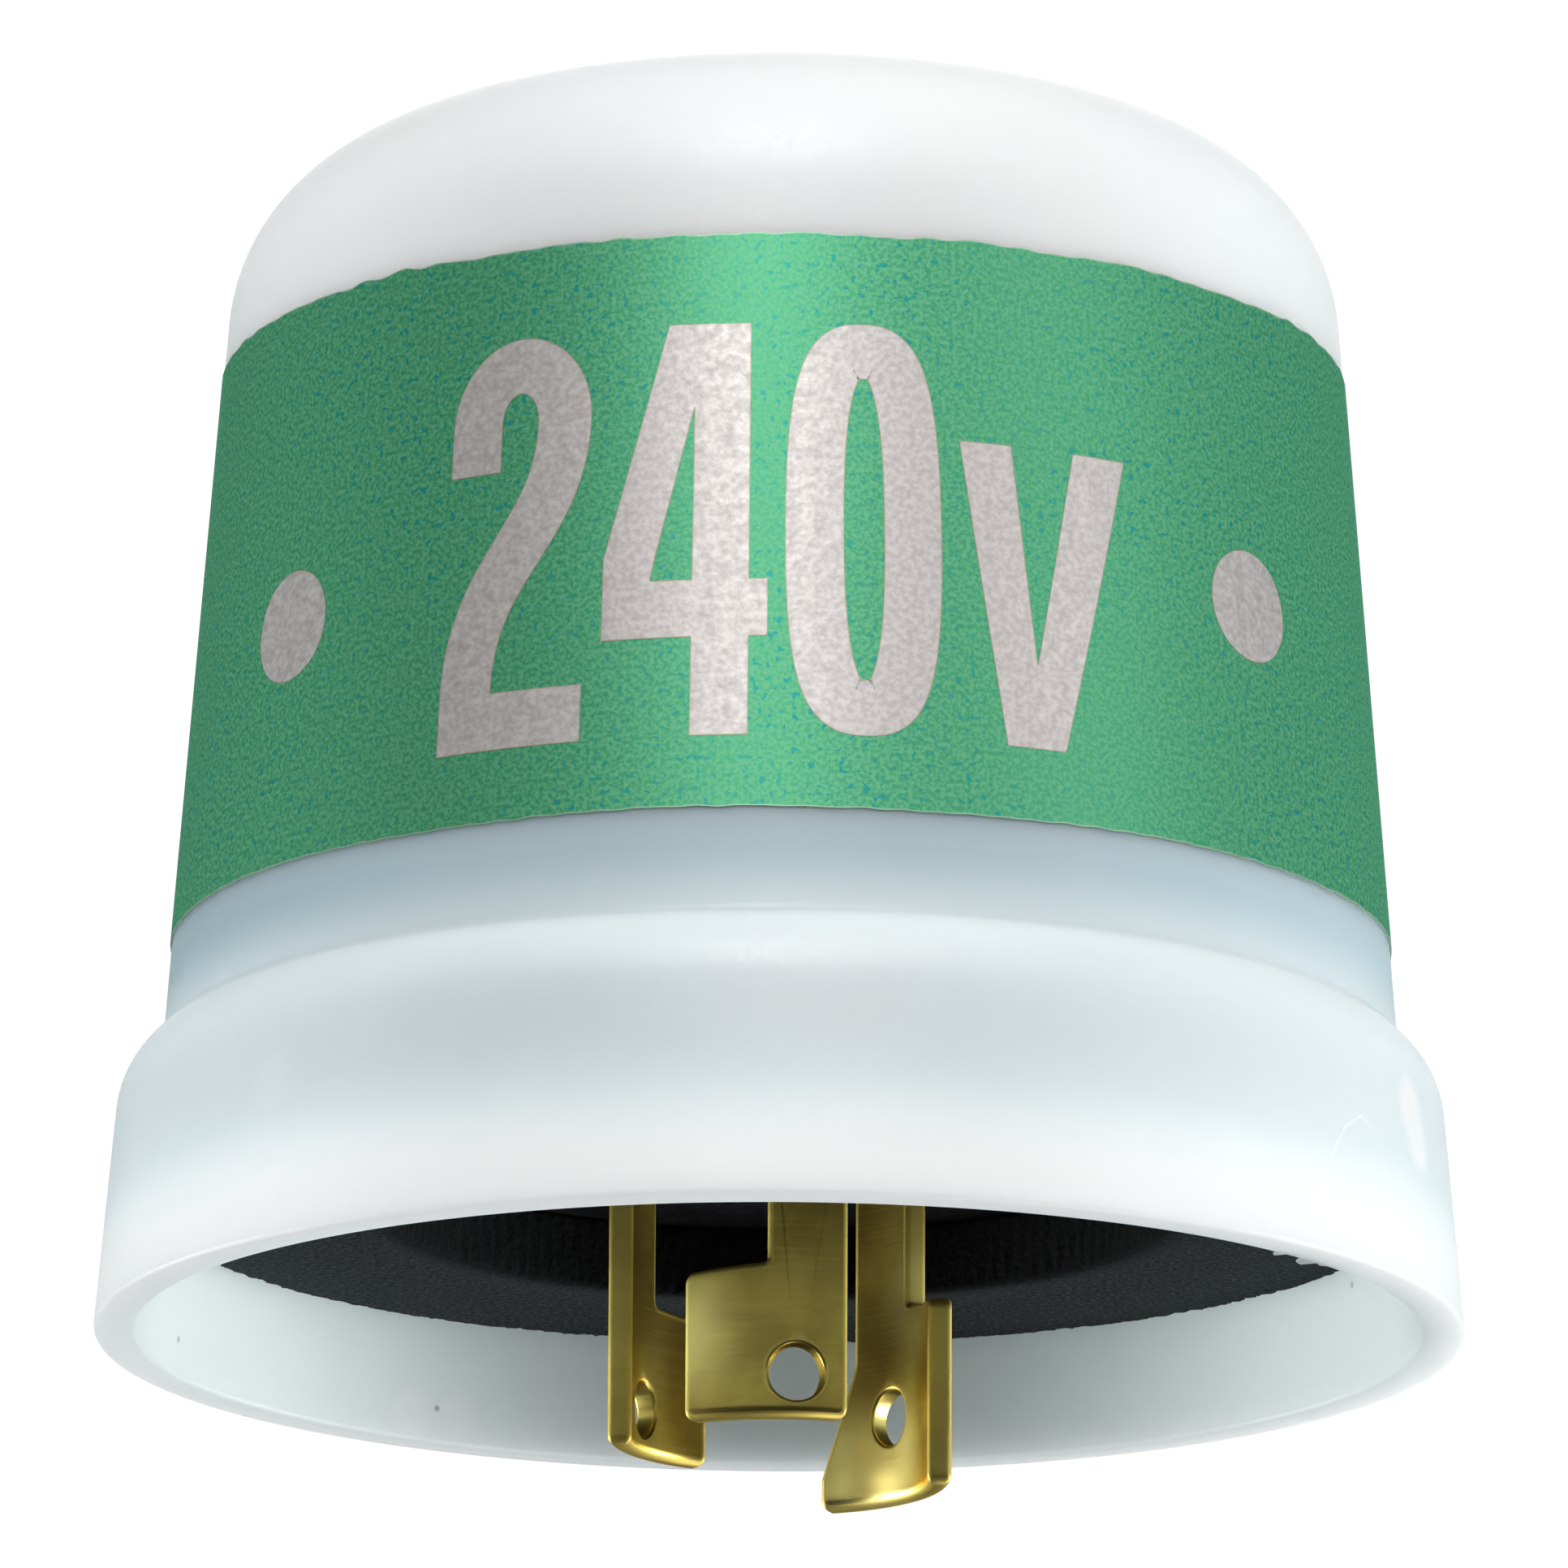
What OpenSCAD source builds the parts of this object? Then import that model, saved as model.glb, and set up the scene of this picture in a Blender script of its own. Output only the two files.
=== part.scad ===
// Photocell switch with a locking plug: cover, foil band, gasket, base, blades and thermal switch
// Millimetres, Z up along the plug's axis, the figures on the band face -Y
// The origin is the centre of the gasket's lower face, which seats on the socket
// Plug angles are counted from the front, -Y, towards +X

/* [Cover] */
// Outer diameter of the skirt at its rim
rim_d = 84; // [82:0.5:90]
// How far the body's wall stands in from the rim, at the corner of skirt and body
body_inset = 3.95; // [3.4:0.05:4.6]
// Height of the cover from the rim to the middle of the top
cover_h = 75.6; // [71:0.2:90]
// Height from the rim to the corner between skirt and body
skirt_h = 18; // [17:0.2:20]
// Wall thickness of the cover
cover_wall = 2.6; // [2.2:0.1:3]
// Lean of the skirt's wall, in degrees
skirt_draft = 4.8; // [4:0.1:5.5]
// Lean of the body's wall, in degrees
body_draft = 4.2; // [2:0.1:5]
// Radius of the skirt's rounded shoulder
shoulder_r = 5.5; // [4.5:0.1:7]
// Radius of the inside corner between shoulder and body
corner_r = 0.8; // [0.4:0.1:1.4]
// Radius between the body's side and the top
crown_r = 11.6; // [8:0.2:15]
// Slope of the top where it meets the crown, in degrees
top_slope = 4; // [1:0.5:8]
// Rounding of the rim's edges
rim_round = 0.3; // [0.2:0.1:0.9]
// Number of catches inside the skirt
catch_n = 3; // [3:1:6]
// Plug angle of the first catch
catch_angle = -46; // [-60:1:60]
// Width of a catch, in degrees
catch_arc = 13; // [8:1:20]
// Height of a catch
catch_h = 3; // [2:0.1:3.6]
// How far a catch stands out from the skirt's wall
catch_reach = 0.9; // [0.7:0.1:1.2]
// Height of a catch's upright face
catch_face = 0.8; // [0.6:0.1:1]

/* [Foil band] */
// Height of the band's lower edge above the rim
band_low = 24.3; // [22:0.1:28]
// Height of the band's upper edge above the rim
band_high = 60.3; // [50:0.1:61]
// Thickness of the foil
band_t = 0.1; // [0.05:0.05:0.3]
// Width of the gap between the band's ends, at the back
band_seam = 1.2; // [0.6:0.1:3]

/* [Gasket and base] */
// Depth of the seat inside the skirt, from the rim to the gasket
seat_depth = 7.7; // [7:0.1:9]
// Thickness of the foam gasket
gasket_t = 4.5; // [4:0.1:4.8]
// Inner diameter of the gasket
gasket_id = 48; // [44:0.5:56]
// Gap between the gasket and the skirt's wall
gasket_gap = 0.3; // [0.2:0.05:0.5]
// Thickness of the base
base_t = 3.2; // [2.6:0.1:3.6]
// Gap between the base and the skirt's wall
base_gap = 0.25; // [0.2:0.05:0.35]
// Height of the ring on the base that centres it in the cover
ring_h = 4; // [3:0.1:6]
// Thickness of the centring ring
ring_t = 2; // [1.6:0.1:2.6]
// Gap between the centring ring and the cover
ring_gap = 0.3; // [0.2:0.05:0.5]

/* [Blades] */
// Outer radius of the curved blades
blade_r = 10.6; // [10.2:0.1:11]
// Thickness of the blade brass
blade_t = 1.5; // [1.2:0.1:1.6]
// Width of the line and load blades' stems, in degrees
stem_arc = 27.6; // [24:0.2:30]
// Plug angle at which the line blade's straight edge stands
line_edge = 23.6; // [15:0.2:30]
// Reach of the locking foot beyond the stem, in degrees
foot_reach = 27; // [22:0.5:30]
// Extra reach of the line blade's foot, in degrees
line_extra = 2.2; // [0:0.1:3]
// Depth of the foot's upper edge below the seat
foot_drop = 5; // [4.8:0.1:5.4]
// Slope of the foot's upper edge, in degrees
foot_slope = 5; // [0:0.5:8]
// Depth of the line and load blades' tips below the seat
tip_drop = 14.6; // [14.2:0.1:15.2]
// Extra length of the neutral blade
neutral_extra = 2.1; // [1:0.1:3]
// Extra width of the neutral blade's stem on its straight side, in degrees
neutral_wide = 5.9; // [3:0.1:8]
// How far the neutral blade's stem starts nearer its foot, in degrees
neutral_shift = 1.5; // [1:0.1:2]
// Reach of the neutral blade's flared tip on the straight side
neutral_flare = 2.4; // [1:0.1:2.8]
// Height of the neutral blade's flared tip
flare_h = 9; // [4:0.1:10]
// Height of the straight edge at the flared tip
flare_land = 2; // [1:0.1:3]
// How much higher the load and neutral blades sit in the base
rear_raise = 0.5; // [0:0.05:0.6]
// Lead-in rounding of the blades' tips, on both faces
tip_round = 0.7; // [0.4:0.05:0.7]
// Rounding of the blades' corners
blade_round = 0.6; // [0.4:0.1:1.2]
// Diameter of the detent holes
detent_d = 3.5; // [3:0.1:3.8]
// Depth of the detent holes below the seat
detent_drop = 11.8; // [11.6:0.1:12]
// Plug angle from a stem's middle to its detent hole
detent_turn = 4; // [2:0.5:6]
// Gap around a stem in its slot
slot_gap = 0.15; // [0.1:0.05:0.3]
// Radius of the circle that the blade rivets stand on
rivet_circle = 16; // [15.5:0.1:17]
// Width of the tabs at the top of the blades
tab_w = 5; // [4.6:0.1:5.4]
// Length of the tabs beyond the rivet
tab_past = 5.2; // [4.8:0.1:6]

/* [Rivets] */
// Outer diameter of a rivet's shank
rivet_d = 3.4; // [3:0.1:3.6]
// Bore of the hollow rivets
rivet_bore = 2.4; // [1.8:0.1:2.4]
// Diameter of a rivet's lower head
rivet_head_d = 6; // [5.2:0.1:6.4]
// Diameter of a rivet's rolled end
rivet_roll_d = 5.4; // [4.8:0.1:5.6]
// Thickness of the rivet's head and rolled end
rivet_head_t = 0.6; // [0.4:0.05:0.8]
// Gap around a rivet in its holes
rivet_gap = 0.1; // [0.05:0.01:0.15]

/* [Thermal switch] */
// Thickness of the brass strip that the brackets are bent from
strip_t = 1; // [0.8:0.1:1.2]
// Width of the brackets
bracket_w = 9; // [8.4:0.1:10]
// Height of the brackets above their feet
bracket_h = 17; // [16:0.2:19]
// Distance from the rivet to the inner edge of a bracket's foot
foot_back = 4; // [3.8:0.1:4.4]
// Distance from the rivet to the back of the arm post
post_out = 4; // [3.8:0.1:4.4]
// Thickness of the bimetal strip
arm_t = 0.6; // [0.4:0.1:0.8]
// Width of the bimetal strip
arm_w = 8; // [6:0.2:9]
// Height of the arm's middle above the base
arm_z = 12; // [11:0.2:13]
// Diameter of the silver contacts
contact_d = 4; // [3:0.1:4.6]
// Thickness of a contact's head
contact_t = 1; // [0.8:0.1:1.2]
// Gap left between the contacts when closed
contact_gap = 0.1; // [0.05:0.01:0.2]
// Diameter of the heater's ceramic body
heater_d = 5.5; // [4.5:0.1:5.8]
// Length of the heater's ceramic body
heater_l = 15; // [12:0.2:16]
// Gap between the heater and the arm
heater_gap = 1.8; // [1.7:0.1:2.2]
// Diameter of the component leads
lead_d = 0.8; // [0.6:0.05:0.9]
// Outer radius of the brackets' bends
bend_r = 1.5; // [1.2:0.1:2]

/* [Photocell and surge parts] */
// Diameter of the photocell
cell_d = 12.7; // [11:0.1:13.5]
// Thickness of the photocell
cell_t = 3; // [2.4:0.1:3.6]
// Distance between the photocell's leads
cell_pitch = 8; // [6:0.2:8.4]
// Height of the posts that carry the bridge, above the base
post_h = 30.5; // [29:0.2:34]
// Diameter of the posts
post_d = 7; // [6.4:0.1:7.6]
// Distance between the posts
post_pitch = 48; // [46:0.2:50]
// Distance of the posts from the plug's axis, away from the arm
post_back = 4; // [3.6:0.1:4.6]
// Thickness of the bridge
bridge_t = 2.5; // [2:0.1:3]
// Diameter of the cup around the photocell
cup_d = 17; // [16.4:0.1:18]
// Height of the cup's wall above the bridge
cup_h = 1.5; // [1:0.1:2.5]
// Thread diameter of the bridge screws
screw_d = 2.6; // [2.2:0.1:3]
// Length of the bridge screws below their heads
screw_l = 10; // [8:0.2:14]
// Head diameter of the bridge screws
screw_head_d = 5.5; // [5:0.1:6]
// Height of the bridge screws' heads
head_t = 1.8; // [1.5:0.1:2]
// Diameter of the surge varistor
varistor_d = 14; // [11:0.2:15]
// Thickness of the surge varistor
varistor_t = 4.5; // [3.6:0.1:5]
// Distance between the varistor's leads
varistor_pitch = 7.5; // [6:0.1:8]
// Height of the varistor's lower edge above the base
varistor_lift = 9; // [8:0.2:10]
// Distance of the varistor from the heater's end
varistor_side = 5.5; // [5:0.1:6]
// Distance of the varistor from the plug's axis, away from the arm
varistor_back = 8; // [7:0.2:9]
// Height of the varistor leads' bends above the base
varistor_bend = 5.5; // [5:0.1:6]
// Depth of the line lead's bend below the bridge
cell_bend = 6; // [5:0.2:7]
// Depth of the tie lead's bend below the line lead's bend
cell_step = 4; // [3:0.2:5]
// Depth of the photocell's seat in the bridge
cell_seat = 1.2; // [1:0.1:1.4]
// Diameter of the tie post
tie_d = 3; // [2.8:0.1:3.4]
// Height of the tie post above the base
tie_h = 9.3; // [8:0.1:10]
// Distance of the tie post from the plug's axis, away from the arm
tie_back = 2; // [1.6:0.1:2.4]
// Depth of the lead holes in the tie post
tie_hole = 2; // [1.6:0.1:2.4]
// Width of the tie post's collar around its stem
tie_collar = 0.5; // [0.4:0.1:0.8]

/* [Part shown] */

/* [Hidden] */
$fn = 64;

// Gaps where faces touch, round pressed shanks, round catches and bores and round leads
seat_fit = 0.02;
press_fit = 0.04;
catch_play = 0.05;
hole_fit = 0.3;
// How far a cutter runs past what it cuts
cut = 1;

// Heights
rim_z = -seat_depth;
base_z = gasket_t;
base_top = base_z + base_t;
tab_top = base_top + blade_t;
foot_top = tab_top + strip_t;
ledge_h = seat_depth + base_top;
catch_top = seat_depth + base_z - catch_play;

// Radii of the cover's walls at a height above the rim
rim_r = rim_d / 2;
body_r = rim_r - body_inset;
function skirt_in(h) = rim_r - cover_wall - h * tan(skirt_draft);
function body_out(h) = body_r - (h - skirt_h) * tan(body_draft);
function body_in(h) = body_out(h) - cover_wall;

// Points of an arc around c, from angle a to angle b
function arc(c, r, a, b, n) =
  [for (i = [0:n]) c + r * [cos(a + (b - a) * i / n), sin(a + (b - a) * i / n)]];
function reversed(v) = [for (i = [len(v) - 1:-1:0]) v[i]];

// Shoulder: an arc that leaves the skirt's wall smoothly and ends at the body's corner
wall_t = [-sin(skirt_draft), cos(skirt_draft)];
wall_n = [cos(skirt_draft), sin(skirt_draft)];
corner = [body_r, skirt_h];
corner_off = corner - [rim_r, 0];
corner_t = corner_off * wall_t;
corner_n = corner_off * wall_n;
shoulder_s = corner_t - sqrt(-corner_n * (2 * shoulder_r + corner_n));
shoulder_c = [rim_r, 0] + shoulder_s * wall_t - shoulder_r * wall_n;

// Inside corner: a small arc that touches both the shoulder and the body's wall
body_t = [-sin(body_draft), cos(body_draft)];
body_n = [cos(body_draft), sin(body_draft)];
corner_v = corner - shoulder_c;
corner_vt = corner_v * body_t;
corner_u = -corner_vt + sqrt(corner_vt * corner_vt - 2 * corner_r * (corner_v * body_n - shoulder_r));
corner_c = corner + corner_u * body_t + corner_r * body_n;
shoulder_end = atan2(corner_c[1] - shoulder_c[1], corner_c[0] - shoulder_c[0]);

// Crown and top: an arc from the wall to the edge of a shallow dome
function crown_cr(kr, h, r) =
  (kr * cos(body_draft) - (h - r - skirt_h) * sin(body_draft) - r)
  / (cos(body_draft) - tan(top_slope / 2) * sin(body_draft));
function crown_c(kr, h, r) = [crown_cr(kr, h, r), h - r - crown_cr(kr, h, r) * tan(top_slope / 2)];
function crown_end(kr, h, r) = crown_c(kr, h, r) + r * [sin(top_slope), cos(top_slope)];
function top_line(e) = arc([0, e[1] - e[0] / tan(top_slope)], e[0] / sin(top_slope), 90 - top_slope, 90, 6);
function crown_line(kr, h, r) = concat(
  arc(crown_c(kr, h, r), r, body_draft, 90 - top_slope, 14),
  [for (i = [1:6]) top_line(crown_end(kr, h, r))[i]]
);

cover_line = concat(
  arc([rim_r - rim_round, rim_round], rim_round, -90, skirt_draft, 4),
  arc(shoulder_c, shoulder_r, skirt_draft, shoulder_end, 9),
  reversed(arc(corner_c, corner_r, 180 + body_draft, 180 + shoulder_end, 4)),
  crown_line(body_r, cover_h, crown_r),
  reversed(crown_line(body_r - cover_wall, cover_h - cover_wall, crown_r - cover_wall)),
  [[body_in(ledge_h), ledge_h], [skirt_in(ledge_h), ledge_h]],
  arc([rim_r - cover_wall + rim_round, rim_round], rim_round, 180, 270, 4)
);

// Plug angles of the blades, each as foot start, stem start, stem end, foot end
blade_in = blade_r - blade_t;
plain_a = [line_edge - stem_arc - foot_reach, line_edge - stem_arc, line_edge, line_edge];
line_a = [plain_a[0] - line_extra, plain_a[1], plain_a[2], plain_a[3]];
load_a = [for (a = plain_a) a + 240];
neutral_start = plain_a[1] + 120 + neutral_wide - neutral_shift;
neutral_end = plain_a[2] + 120 + neutral_wide;
neutral_a = [
  plain_a[0] + 120, neutral_start, neutral_end, neutral_end + neutral_flare / blade_in * 180 / PI
];
function stem_mid(a) = (a[1] + a[2]) / 2;

// Switch frame: X runs from the line rivet to the load rivet, Y away from the plug's axis
switch_turn = (stem_mid(line_a) + stem_mid(load_a)) / 2;
half_turn = (360 - stem_mid(load_a) + stem_mid(line_a)) / 2;
post_x = rivet_circle * sin(half_turn);
post_y = rivet_circle * cos(half_turn);
arm_y = post_y + post_out - strip_t;
arm_root = -post_x - bracket_w / 2;
arm_end = post_x + contact_d / 2 + contact_t;
arm_mid = base_top + arm_z;
fixed_y = arm_y + 2 * contact_t + contact_gap;
heater_y = arm_y - arm_t - heater_gap - heater_d / 2;
heater_end = heater_l / 2;
shank_d = 0.4 * contact_d;

// Where the leads end, in the switch frame
neutral_local = stem_mid(neutral_a) - 90 - switch_turn;
function on_neutral(r, side) =
  [r * cos(neutral_local) - side * sin(neutral_local), r * sin(neutral_local) + side * cos(neutral_local)];
lead_hole = lead_d + hole_fit;
lead_edge = 1.5 * lead_d;
line_y = post_y - foot_back + 1.25 * lead_d;
line_left = [-post_x - bracket_w / 2 + lead_edge, line_y];
line_right = [-post_x + bracket_w / 2 - lead_edge, line_y];
neutral_r = rivet_circle + tab_past - 0.34 * tab_w;
neutral_left = on_neutral(neutral_r, -0.26 * tab_w);
neutral_right = on_neutral(neutral_r, 0.26 * tab_w);
tie_x = -heater_end - tie_d / 6;
tie_y = -tie_back;
tie_in = lead_d;
tie_top = base_top + tie_h;
tie_low = tie_top - tie_hole;
tie_floor = base_t / 5;
varistor_x = -heater_end - varistor_side;
varistor_y = -varistor_back;
varistor_z = base_top + varistor_lift + varistor_d / 2;
bridge_z = base_top + post_h;
cell_floor = bridge_z + bridge_t - cell_seat;

module switch_frame() {
  rotate([0, 0, switch_turn])
    children();
}

// A part of a ring between two plug angles, from a profile in radius and height
module sector(a, b) {
  rotate([0, 0, a - 90])
    rotate_extrude(angle = b - a)
      children();
}

// A straight round rod between two points
module rod(a, b, d) {
  v = b - a;
  translate(a)
    rotate([0, acos(v[2] / norm(v)), atan2(v[1], v[0])])
      cylinder(h = norm(v), d = d, $fn = 24);
}

// A bent wire through a list of points
module wire(p) {
  for (i = [0:len(p) - 2]) {
    rod(p[i], p[i + 1], lead_d);
  }
  for (i = [1:len(p) - 2]) {
    translate(p[i])
      sphere(d = lead_d * 1.06, $fn = 24);
  }
}

module cover() {
  color("whitesmoke")
    translate([0, 0, rim_z]) {
      rotate_extrude($fn = 128)
        polygon(cover_line);
      for (i = [0:catch_n - 1]) {
        a = catch_angle + i * 360 / catch_n;
        top_r = skirt_in(catch_top);
        low_r = skirt_in(catch_top - catch_h);
        root = cover_wall / 4;
        sector(a - catch_arc / 2, a + catch_arc / 2)
          polygon([
            [top_r + root, catch_top], [top_r - catch_reach, catch_top],
            [top_r - catch_reach, catch_top - catch_face], [low_r, catch_top - catch_h],
            [low_r + root, catch_top - catch_h]
          ]);
      }
    }
}

module label_band() {
  half = 180 - band_seam / 2 / body_out(band_low) * 180 / PI;
  low = body_out(band_low) + seat_fit;
  high = body_out(band_high) + seat_fit;
  color("seagreen")
    translate([0, 0, rim_z])
      sector(-half, half)
        polygon([[low, band_low], [low + band_t, band_low], [high + band_t, band_high], [high, band_high]]);
}

module gasket() {
  outer = skirt_in(seat_depth + gasket_t) - gasket_gap;
  color("darkslategray")
    difference() {
      cylinder(h = gasket_t, r = outer, $fn = 128);
      translate([0, 0, -cut])
        cylinder(h = gasket_t + 2 * cut, d = gasket_id, $fn = 128);
      for (i = [0:catch_n - 1]) {
        a = catch_angle + i * 360 / catch_n;
        sector(a - catch_arc / 2 - 1, a + catch_arc / 2 + 1)
          translate([skirt_in(catch_top) - catch_reach - gasket_gap, gasket_t - catch_h - gasket_gap])
            square([catch_reach + cover_wall, catch_h + cut]);
      }
    }
}

// Slot for a stem
module stem_slot(a) {
  gap_arc = slot_gap / blade_r * 180 / PI;
  sector(a[1] - gap_arc, a[2] + gap_arc)
    translate([blade_in - slot_gap, base_z - cut])
      square([blade_t + 2 * slot_gap, base_t + 2 * cut]);
}

module rivet_hole(a, z, h) {
  rotate([0, 0, stem_mid(a) - 90])
    translate([rivet_circle, 0, z])
      cylinder(h = h, d = rivet_d + 2 * rivet_gap);
}

module base() {
  ring_r = body_in(ledge_h + ring_h) - ring_gap;
  color("#242426")
    difference() {
      union() {
        translate([0, 0, base_z])
          cylinder(h = base_t - seat_fit, r = skirt_in(ledge_h) - base_gap, $fn = 128);
        translate([0, 0, base_top - base_t / 3])
          difference() {
            cylinder(h = ring_h + base_t / 3, r = ring_r, $fn = 128);
            translate([0, 0, -cut])
              cylinder(h = ring_h + base_t / 3 + 2 * cut, r = ring_r - ring_t, $fn = 128);
          }
        switch_frame()
          for (s = [-1, 1]) {
            translate([s * post_pitch / 2, -post_back, base_top - base_t / 3]) {
              cylinder(h = post_h + base_t / 3, d = post_d);
              cylinder(h = post_h / 3, d1 = 1.4 * post_d, d2 = post_d);
            }
          }
      }
      for (a = [line_a, load_a, neutral_a]) {
        stem_slot(a);
        rivet_hole(a, base_z - cut, base_t + 2 * cut);
      }
      switch_frame() {
        for (s = [-1, 1]) {
          translate([s * post_pitch / 2, -post_back, bridge_z - screw_l])
            cylinder(h = screw_l + cut, d = screw_d + 2 * catch_play);
        }
        translate([tie_x, tie_y, base_z + tie_floor])
          cylinder(h = base_t, d = tie_d - 2 * tie_collar + press_fit);
      }
    }
}

// Rounded corner cut at a plug angle and height, sa and sz point out of the corner
module corner_cut(a, z, sa, sz) {
  rotate([0, 0, a - 90])
    translate([blade_in - blade_t, 0, z])
      rotate([90, 0, 90])
        linear_extrude(3 * blade_t)
          difference() {
            translate([sa > 0 ? -blade_round : -cut / 2, sz > 0 ? -blade_round : -cut / 2])
              square(blade_round + cut / 2);
            translate([-sa * blade_round, -sz * blade_round])
              circle(blade_round * 1.005);
          }
}

module blade(a, tip, raise) {
  top = raise - foot_drop;
  end = top - blade_r * sin(a[1] - a[0]) * tan(foot_slope);
  tab_end = rivet_circle + tab_past;
  reach = 1.5 * blade_r;
  high = tab_top + cut;
  lead_in = min(tip_round, 0.48 * blade_t);
  color("goldenrod")
    difference() {
      sector(a[0], a[3])
        polygon(concat(
          arc([blade_in + lead_in, tip + lead_in], lead_in, 180, 270, 5),
          arc([blade_r - lead_in, tip + lead_in], lead_in, -90, 0, 5),
          [[blade_r, base_top], [tab_end, base_top], [tab_end, tab_top]],
          arc([blade_in + blade_t, tab_top - blade_t], blade_t, 90, 180, 5)
        ));
      rotate([0, 0, a[1] - 90])
        rotate([90, 0, 90])
          linear_extrude(tab_end + cut)
            polygon([[0, top], [-reach, top - reach * tan(foot_slope)], [-reach, high], [0, high]]);
      rotate([0, 0, stem_mid(a) - 90])
        for (s = [-1, 1]) {
          translate([blade_r + blade_round, s * (tab_w + reach) / 2 - reach / 2, base_top - cut])
            cube([tab_end, reach, blade_t + 2 * cut]);
        }
      rivet_hole(a, base_top - cut, blade_t + 2 * cut);
      rotate([0, 0, stem_mid(a) - 90 - detent_turn])
        translate([blade_in - blade_t, 0, raise - detent_drop])
          rotate([0, 90, 0])
            cylinder(h = 3 * blade_t, d = detent_d);
      corner_cut(a[0], end, -1, 1);
      corner_cut(a[0], tip, -1, -1);
      corner_cut(a[3], tip, 1, -1);
    }
}

module line_blade() {
  blade(line_a, -tip_drop, 0);
}

module load_blade() {
  blade(load_a, rear_raise - tip_drop, rear_raise);
}

module neutral_blade() {
  tip = -tip_drop - neutral_extra;
  high = tab_top + cut - tip;
  color("goldenrod")
    difference() {
      blade(neutral_a, tip, rear_raise);
      rotate([0, 0, neutral_a[2] - 90])
        translate([blade_in - 2 * blade_t, 0, tip])
          rotate([90, 0, 90])
            linear_extrude(2 * blade_r)
              polygon([
                [0, flare_h], [neutral_flare, flare_land], [neutral_flare, 0],
                [blade_r, 0], [blade_r, high], [0, high]
              ]);
      switch_frame()
        for (p = [neutral_left, neutral_right]) {
          translate([p[0], p[1], base_top - cut])
            cylinder(h = blade_t + 2 * cut, d = lead_hole, $fn = 24);
        }
    }
}

// A hollow rivet from under the base to a top at height z
module rivet(a, z) {
  edge = rivet_head_t / 2;
  roll = z - base_z + rivet_head_t;
  rotate([0, 0, stem_mid(a) - 90])
    translate([rivet_circle, 0, base_z - rivet_head_t])
      rotate_extrude()
        polygon([
          [rivet_bore / 2, 0], [rivet_head_d / 2 - edge, 0], [rivet_head_d / 2, edge],
          [rivet_head_d / 2, rivet_head_t], [rivet_d / 2, rivet_head_t], [rivet_d / 2, roll],
          [rivet_roll_d / 2, roll], [rivet_roll_d / 2 - edge, roll + rivet_head_t],
          [rivet_bore / 2 + edge, roll + rivet_head_t], [rivet_bore / 2, roll]
        ]);
}

module blade_rivets() {
  color("darkkhaki") {
    rivet(line_a, foot_top);
    rivet(load_a, foot_top);
    rivet(neutral_a, tab_top);
  }
}

// An angle bent from strip, its foot from y0 to the back of its upright at y1
module bracket(x, y0, y1) {
  translate([x - bracket_w / 2, 0, tab_top])
    rotate([90, 0, 90])
      linear_extrude(bracket_w)
        polygon(concat(
          [[y0, 0]],
          arc([y1 - bend_r, bend_r], bend_r, -90, 0, 5),
          [[y1, bracket_h], [y1 - strip_t, bracket_h], [y1 - strip_t, strip_t], [y0, strip_t]]
        ));
}

module arm_post() {
  color("burlywood")
    difference() {
      switch_frame()
        difference() {
          bracket(-post_x, post_y - foot_back, post_y + post_out);
          for (p = [line_left, line_right]) {
            translate([p[0], p[1], tab_top - cut])
              cylinder(h = strip_t + 2 * cut, d = lead_hole, $fn = 24);
          }
        }
      rivet_hole(line_a, tab_top - cut, strip_t + 2 * cut);
    }
}

module bimetal_arm() {
  color("silver")
    switch_frame()
      difference() {
        union() {
          translate([arm_root, arm_y - arm_t, arm_mid - arm_w / 2])
            cube([arm_end - arm_root - arm_w / 2, arm_t, arm_w]);
          translate([arm_end - arm_w / 2, arm_y, arm_mid])
            rotate([90, 0, 0])
              cylinder(h = arm_t, d = arm_w);
        }
        translate([post_x, arm_y + cut, arm_mid])
          rotate([90, 0, 0])
            cylinder(h = arm_t + 2 * cut, d = shank_d + press_fit);
      }
}

// A contact rivet: head on the -Y side of a strip, shank through it, small tail beyond
module contact(strip) {
  edge = 0.3 * contact_t;
  tail = 0.35 * contact_d;
  tail_h = 0.4 * contact_t;
  rotate([-90, 0, 0])
    rotate_extrude()
      polygon([
        [0, -contact_t], [contact_d / 2 - edge, -contact_t], [contact_d / 2, edge - contact_t],
        [contact_d / 2, 0], [shank_d / 2, 0], [shank_d / 2, strip],
        [tail, strip], [tail - tail_h / 2, strip + tail_h], [0, strip + tail_h]
      ]);
}

module moving_contact() {
  color("gainsboro")
    switch_frame()
      translate([post_x, arm_y, arm_mid])
        rotate([0, 0, 180])
          contact(arm_t);
}

module contact_bracket() {
  color("burlywood")
    difference() {
      switch_frame()
        difference() {
          bracket(post_x, post_y - foot_back, fixed_y + strip_t);
          translate([post_x, fixed_y - cut, arm_mid])
            rotate([-90, 0, 0])
              cylinder(h = strip_t + 2 * cut, d = shank_d + press_fit);
        }
      rivet_hole(load_a, tab_top - cut, strip_t + 2 * cut);
    }
}

module fixed_contact() {
  color("gainsboro")
    switch_frame()
      translate([post_x, fixed_y, arm_mid])
        contact(strip_t);
}

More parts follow.
